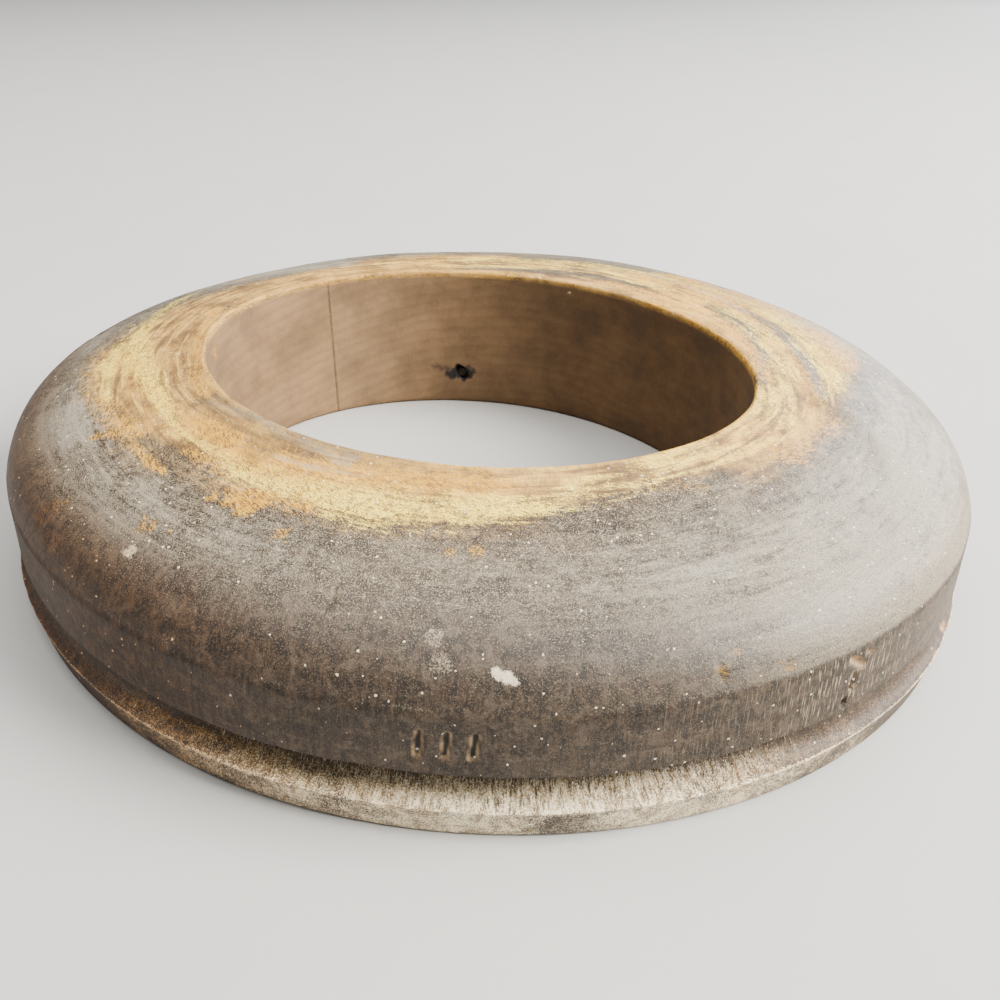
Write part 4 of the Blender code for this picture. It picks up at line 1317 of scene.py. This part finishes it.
HEARTS = {"left_plank": (-0.115, 0.190), "middle_front_block": (0.020, -0.240),
          "middle_rear_block": (0.020, -0.240), "right_plank": (0.130, 0.160)}
TONES = {"left_plank": (1.0, 0.985, 0.96, 1.0), "middle_front_block": (1.0, 1.0, 1.0, 1.0),
         "middle_rear_block": (0.98, 0.98, 0.99, 1.0), "right_plank": (1.0, 0.975, 0.92, 1.0)}
for board, piece in boards.items():
    piece.data.materials.append(weathered_wood("wood_of_" + board, HEARTS[board], TONES[board]))
    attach(piece, "root")
    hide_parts(board)
print("finished boards:", list(boards))

# %% [markdown]
# ## Torn fibres in the groove
# Where the cutter met end grain it tore the fibres out, and short pale bristles still stand in the groove
# at the front and back. There are thousands, so Geometry Nodes scatter them: points on the groove's floor,
# thicker where the grain ends, each with a thin cone laid down the slope. Modelling a few by hand would
# look planted, and a bump alone vanishes at the edge.

# %% Bristles
CONE_SIDES = 4
BRISTLE_INPUTS = {"Density": 1.6e6, "Length": 2.0 * MM, "Thickness": 0.09 * MM, "Lift": 0.15, "Seed": 4}


def fibre_tree(material):
    """Geometry Nodes that scatter thin cones over the mesh, by its attribute `tufts`."""
    t, given = shape_tree("torn_fibres", BRISTLE_INPUTS)
    tufts = t.node("GeometryNodeInputNamedAttribute", {"data_type": "FLOAT"}, Name="tufts").outputs[0]
    scatter = t.node("GeometryNodeDistributePointsOnFaces", {"distribute_method": "RANDOM"},
                     Mesh=given["Geometry"], Density=t.times(tufts, given["Density"]), Seed=given["Seed"])
    cone = t.node("GeometryNodeMeshCone", {"fill_type": "NGON"}, Vertices=CONE_SIDES, Radius_Top=0.0,
                  Radius_Bottom=1.0, Depth=1.0)
    facing = scatter.outputs["Normal"]
    slope = t.vectors("CROSS_PRODUCT", facing, t.vectors("CROSS_PRODUCT", facing, (0.0, 0.0, 1.0)))
    stray = t.filled(t.node("FunctionNodeRandomValue", {"data_type": "FLOAT_VECTOR"}),
                     ((-0.22, -0.22, -0.15), (0.22, 0.22, 0.15)))
    lift = t.node("ShaderNodeCombineXYZ", X=given["Lift"], Y=given["Lift"], Z=given["Lift"]).outputs[0]
    way = t.vectors("ADD", t.vectors("MULTIPLY_ADD", facing, lift, slope), stray)
    turn = t.node("FunctionNodeAlignRotationToVector", {"axis": "Z"}, Vector=way).outputs[0]
    long = t.node("FunctionNodeRandomValue", {"data_type": "FLOAT"})
    for socket, value in zip(long.inputs[2:4], (0.3, 1.0)):
        t.feed(socket, value)
    size = t.node("ShaderNodeCombineXYZ", X=given["Thickness"], Y=given["Thickness"],
                  Z=t.times(long.outputs[1], given["Length"])).outputs[0]
    placed = t.node("GeometryNodeInstanceOnPoints", Points=scatter.outputs["Points"],
                    Instance=cone.outputs["Mesh"], Rotation=turn, Scale=size).outputs[0]
    real = t.node("GeometryNodeRealizeInstances", Geometry=placed).outputs[0]
    painted = t.node("GeometryNodeSetMaterial", Geometry=real, Material=material).outputs[0]
    t.node("NodeGroupOutput", Geometry=painted)
    return t.tree


def dry_fibre():
    """The finish of a torn fibre: pale at most, tan in places."""
    material, t, place = blank_material("dry_fibre")
    tint = t.cloud(t.sized(place, 1.2, 1.2, 4.0), 2.0)
    colour = t.mix(t.between(tint, 0.3, 0.7), srgb(150, 122, 84), srgb(236, 218, 180))
    colour = t.mix(t.between(t.cloud(t.sized(place, 9.0, 9.0, 9.0)), 0.5, 0.75), colour, srgb(96, 74, 52))
    t.surface(colour, Roughness=t.between(tint, 0.2, 0.8, 0.55, 0.75))
    return material


DRY_FIBRE = dry_fibre()
FIBRES = fibre_tree(DRY_FIBRE)


def bristles_of(piece):
    """The bristles on one board, as a plain mesh. None stand on the joints."""
    mesh = piece.data.copy()
    points = vertex_array(mesh) / MM
    across = floats(mesh, "across")
    tufts = round_the_ring(azimuth_of(points), STATIONS["torn"])
    tufts *= step(across, AT["groove"] + 3.0, AT["groove"] + 8.0)
    tufts *= 1.0 - step(across, AT["rim"] - 3.5, AT["rim"] - 1.5)
    tufts *= np.clip(0.75 + 0.9 * fractal(points, (7.0, 7.0, 30.0), 201, 2), 0.0, 1.0)
    tufts *= step(np.abs(np.abs(points[:, 0]) - JOINT_X / MM), 0.1, 0.6)
    store(mesh, "tufts", tufts)
    return through_tree(mesh, FIBRES, **BRISTLE_INPUTS)


bm = bmesh.new()
for board in ("middle_front_block", "middle_rear_block", "left_plank", "right_plank"):
    bm.from_mesh(bristles_of(boards[board]))
bristles = bpy.data.meshes.new("torn_fibres")
bm.to_mesh(bristles)
bm.free()
bristles.materials.clear()
bristles.materials.append(DRY_FIBRE)
torn_fibres = into_scene("torn_fibres", bristles)
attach(torn_fibres, "root")
print("bristles:", len(bristles.polygons) // (CONE_SIDES + 1))

# %% [markdown]
# ## The broken nail
# A nail was snapped off or pulled through in the rear wall, and only its stub is left, rusted dark. The
# solid already has its true shape, so it keeps it and only gets a better finish.

# %% Rusted iron
def rusted_iron():
    """Scaly brown-black rust."""
    material, t, place = blank_material("rusted_iron_scale")
    scale = t.cloud(t.sized(place, 0.7, 0.7, 0.7), 4.0, 0.65)
    colour = t.mix(t.between(scale, 0.35, 0.65), srgb(19, 14, 12), srgb(50, 33, 23))
    bump = t.node("ShaderNodeBump", Strength=0.7, Distance=0.2 * MM, Height=scale).outputs[0]
    t.surface(colour, Roughness=t.between(scale, 0.2, 0.8, 0.6, 0.9), Normal=bump, Metallic=0.35)
    return material


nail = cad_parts["nail_stub"]
rust = rusted_iron()
for slot in nail.material_slots:
    slot.material = rust
print("nail's slots:", len(nail.material_slots))

# %% [markdown]
# ## Floor, light and camera
# The block stands on a plain pale floor that reaches far past the picture. It lies a hair below the
# block's underside, so that the two faces don't fight for the same place.

# %% Floor
FLOOR_HALF = 6.0
FLOOR_DROP = 0.05 * MM


def pale_floor():
    """A matt floor with a very slight mottle."""
    material, t, place = blank_material("pale_floor")
    mottle = t.cloud(t.sized(place, 90.0, 90.0, 90.0), 4.0)
    t.surface(t.mix(mottle, srgb(168, 167, 164), srgb(175, 174, 171)), Roughness=0.9)
    return material


floor_mesh = bpy.data.meshes.new("floor")
corners = [(x * FLOOR_HALF, y * FLOOR_HALF, -FLOOR_DROP) for x, y in ((-1, -1), (1, -1), (1, 1), (-1, 1))]
floor_mesh.from_pydata(corners, [], [(0, 1, 2, 3)])
floor_mesh.materials.append(pale_floor())
floor = into_scene("floor", floor_mesh)

# %% [markdown]
# One large soft light stands to the right and a little in front, as a window would, and skims the top,
# so the rubbed front shines and the left wall of the opening is lit. A cooler one stands low behind the
# right side and draws a shine along the far edge. A third hangs overhead and softens the shadows.

# %% Light
LIGHTS = {
    "window": ((0.78, -0.11, 0.60), 2.4, (1.4, 1.4), 282.0, (1.0, 0.965, 0.90)),
    "behind": ((0.72, 0.64, 0.34), 3.3, (2.6, 1.4), 150.0, (0.93, 0.97, 1.0)),
    "overhead": ((-0.05, 0.05, 1.0), 2.6, (2.4, 2.4), 125.0, (1.0, 0.98, 0.94)),
}


def soft_light(name, toward, distance, size, power, colour):
    """A rectangular area light that faces the block from a direction."""
    lamp = bpy.data.lights.new(name, "AREA")
    lamp.shape = "RECTANGLE"
    lamp.size, lamp.size_y = size
    lamp.energy = power
    lamp.color = colour
    piece = into_scene(name, lamp)
    piece.location = Vector(toward).normalized() * distance
    piece.rotation_euler = Vector(toward).to_track_quat("Z", "Y").to_euler()


for name, facts in LIGHTS.items():
    soft_light(name, *facts)
world = bpy.data.worlds.new("room")
world.use_nodes = True
world.node_tree.nodes["Background"].inputs["Color"].default_value = (0.95, 0.97, 1.0, 1.0)
world.node_tree.nodes["Background"].inputs["Strength"].default_value = 0.35
bpy.context.scene.world = world
print("lights:", list(LIGHTS))

# %% [markdown]
# The camera stands where the photographer stood, and looks down and a little askew, as the photograph does.

# %% Camera
CAMERA_AT = Vector((7.28, -303.99, 189.96)) * MM
CAMERA_DOWN = math.radians(32.24)
CAMERA_ROLL = math.radians(1.09)
LENS_LENGTH = 33.3
across_view = Vector((1.0, 0.0, 0.0))
up_view = Vector((0.0, math.sin(CAMERA_DOWN), math.cos(CAMERA_DOWN)))
back_view = Vector((0.0, -math.cos(CAMERA_DOWN), math.sin(CAMERA_DOWN)))
rolled_across = math.cos(CAMERA_ROLL) * across_view + math.sin(CAMERA_ROLL) * up_view
rolled_up = -math.sin(CAMERA_ROLL) * across_view + math.cos(CAMERA_ROLL) * up_view
lens = bpy.data.cameras.new("camera")
lens.sensor_width = 36.0
lens.lens = LENS_LENGTH
lens.clip_start = 0.01
camera = into_scene("camera", lens)
facing = Matrix((rolled_across, rolled_up, back_view)).transposed().to_4x4()
camera.matrix_world = Matrix.Translation(CAMERA_AT) @ facing
bpy.context.scene.camera = camera
print("camera at (mm):", [round(value / MM) for value in CAMERA_AT])
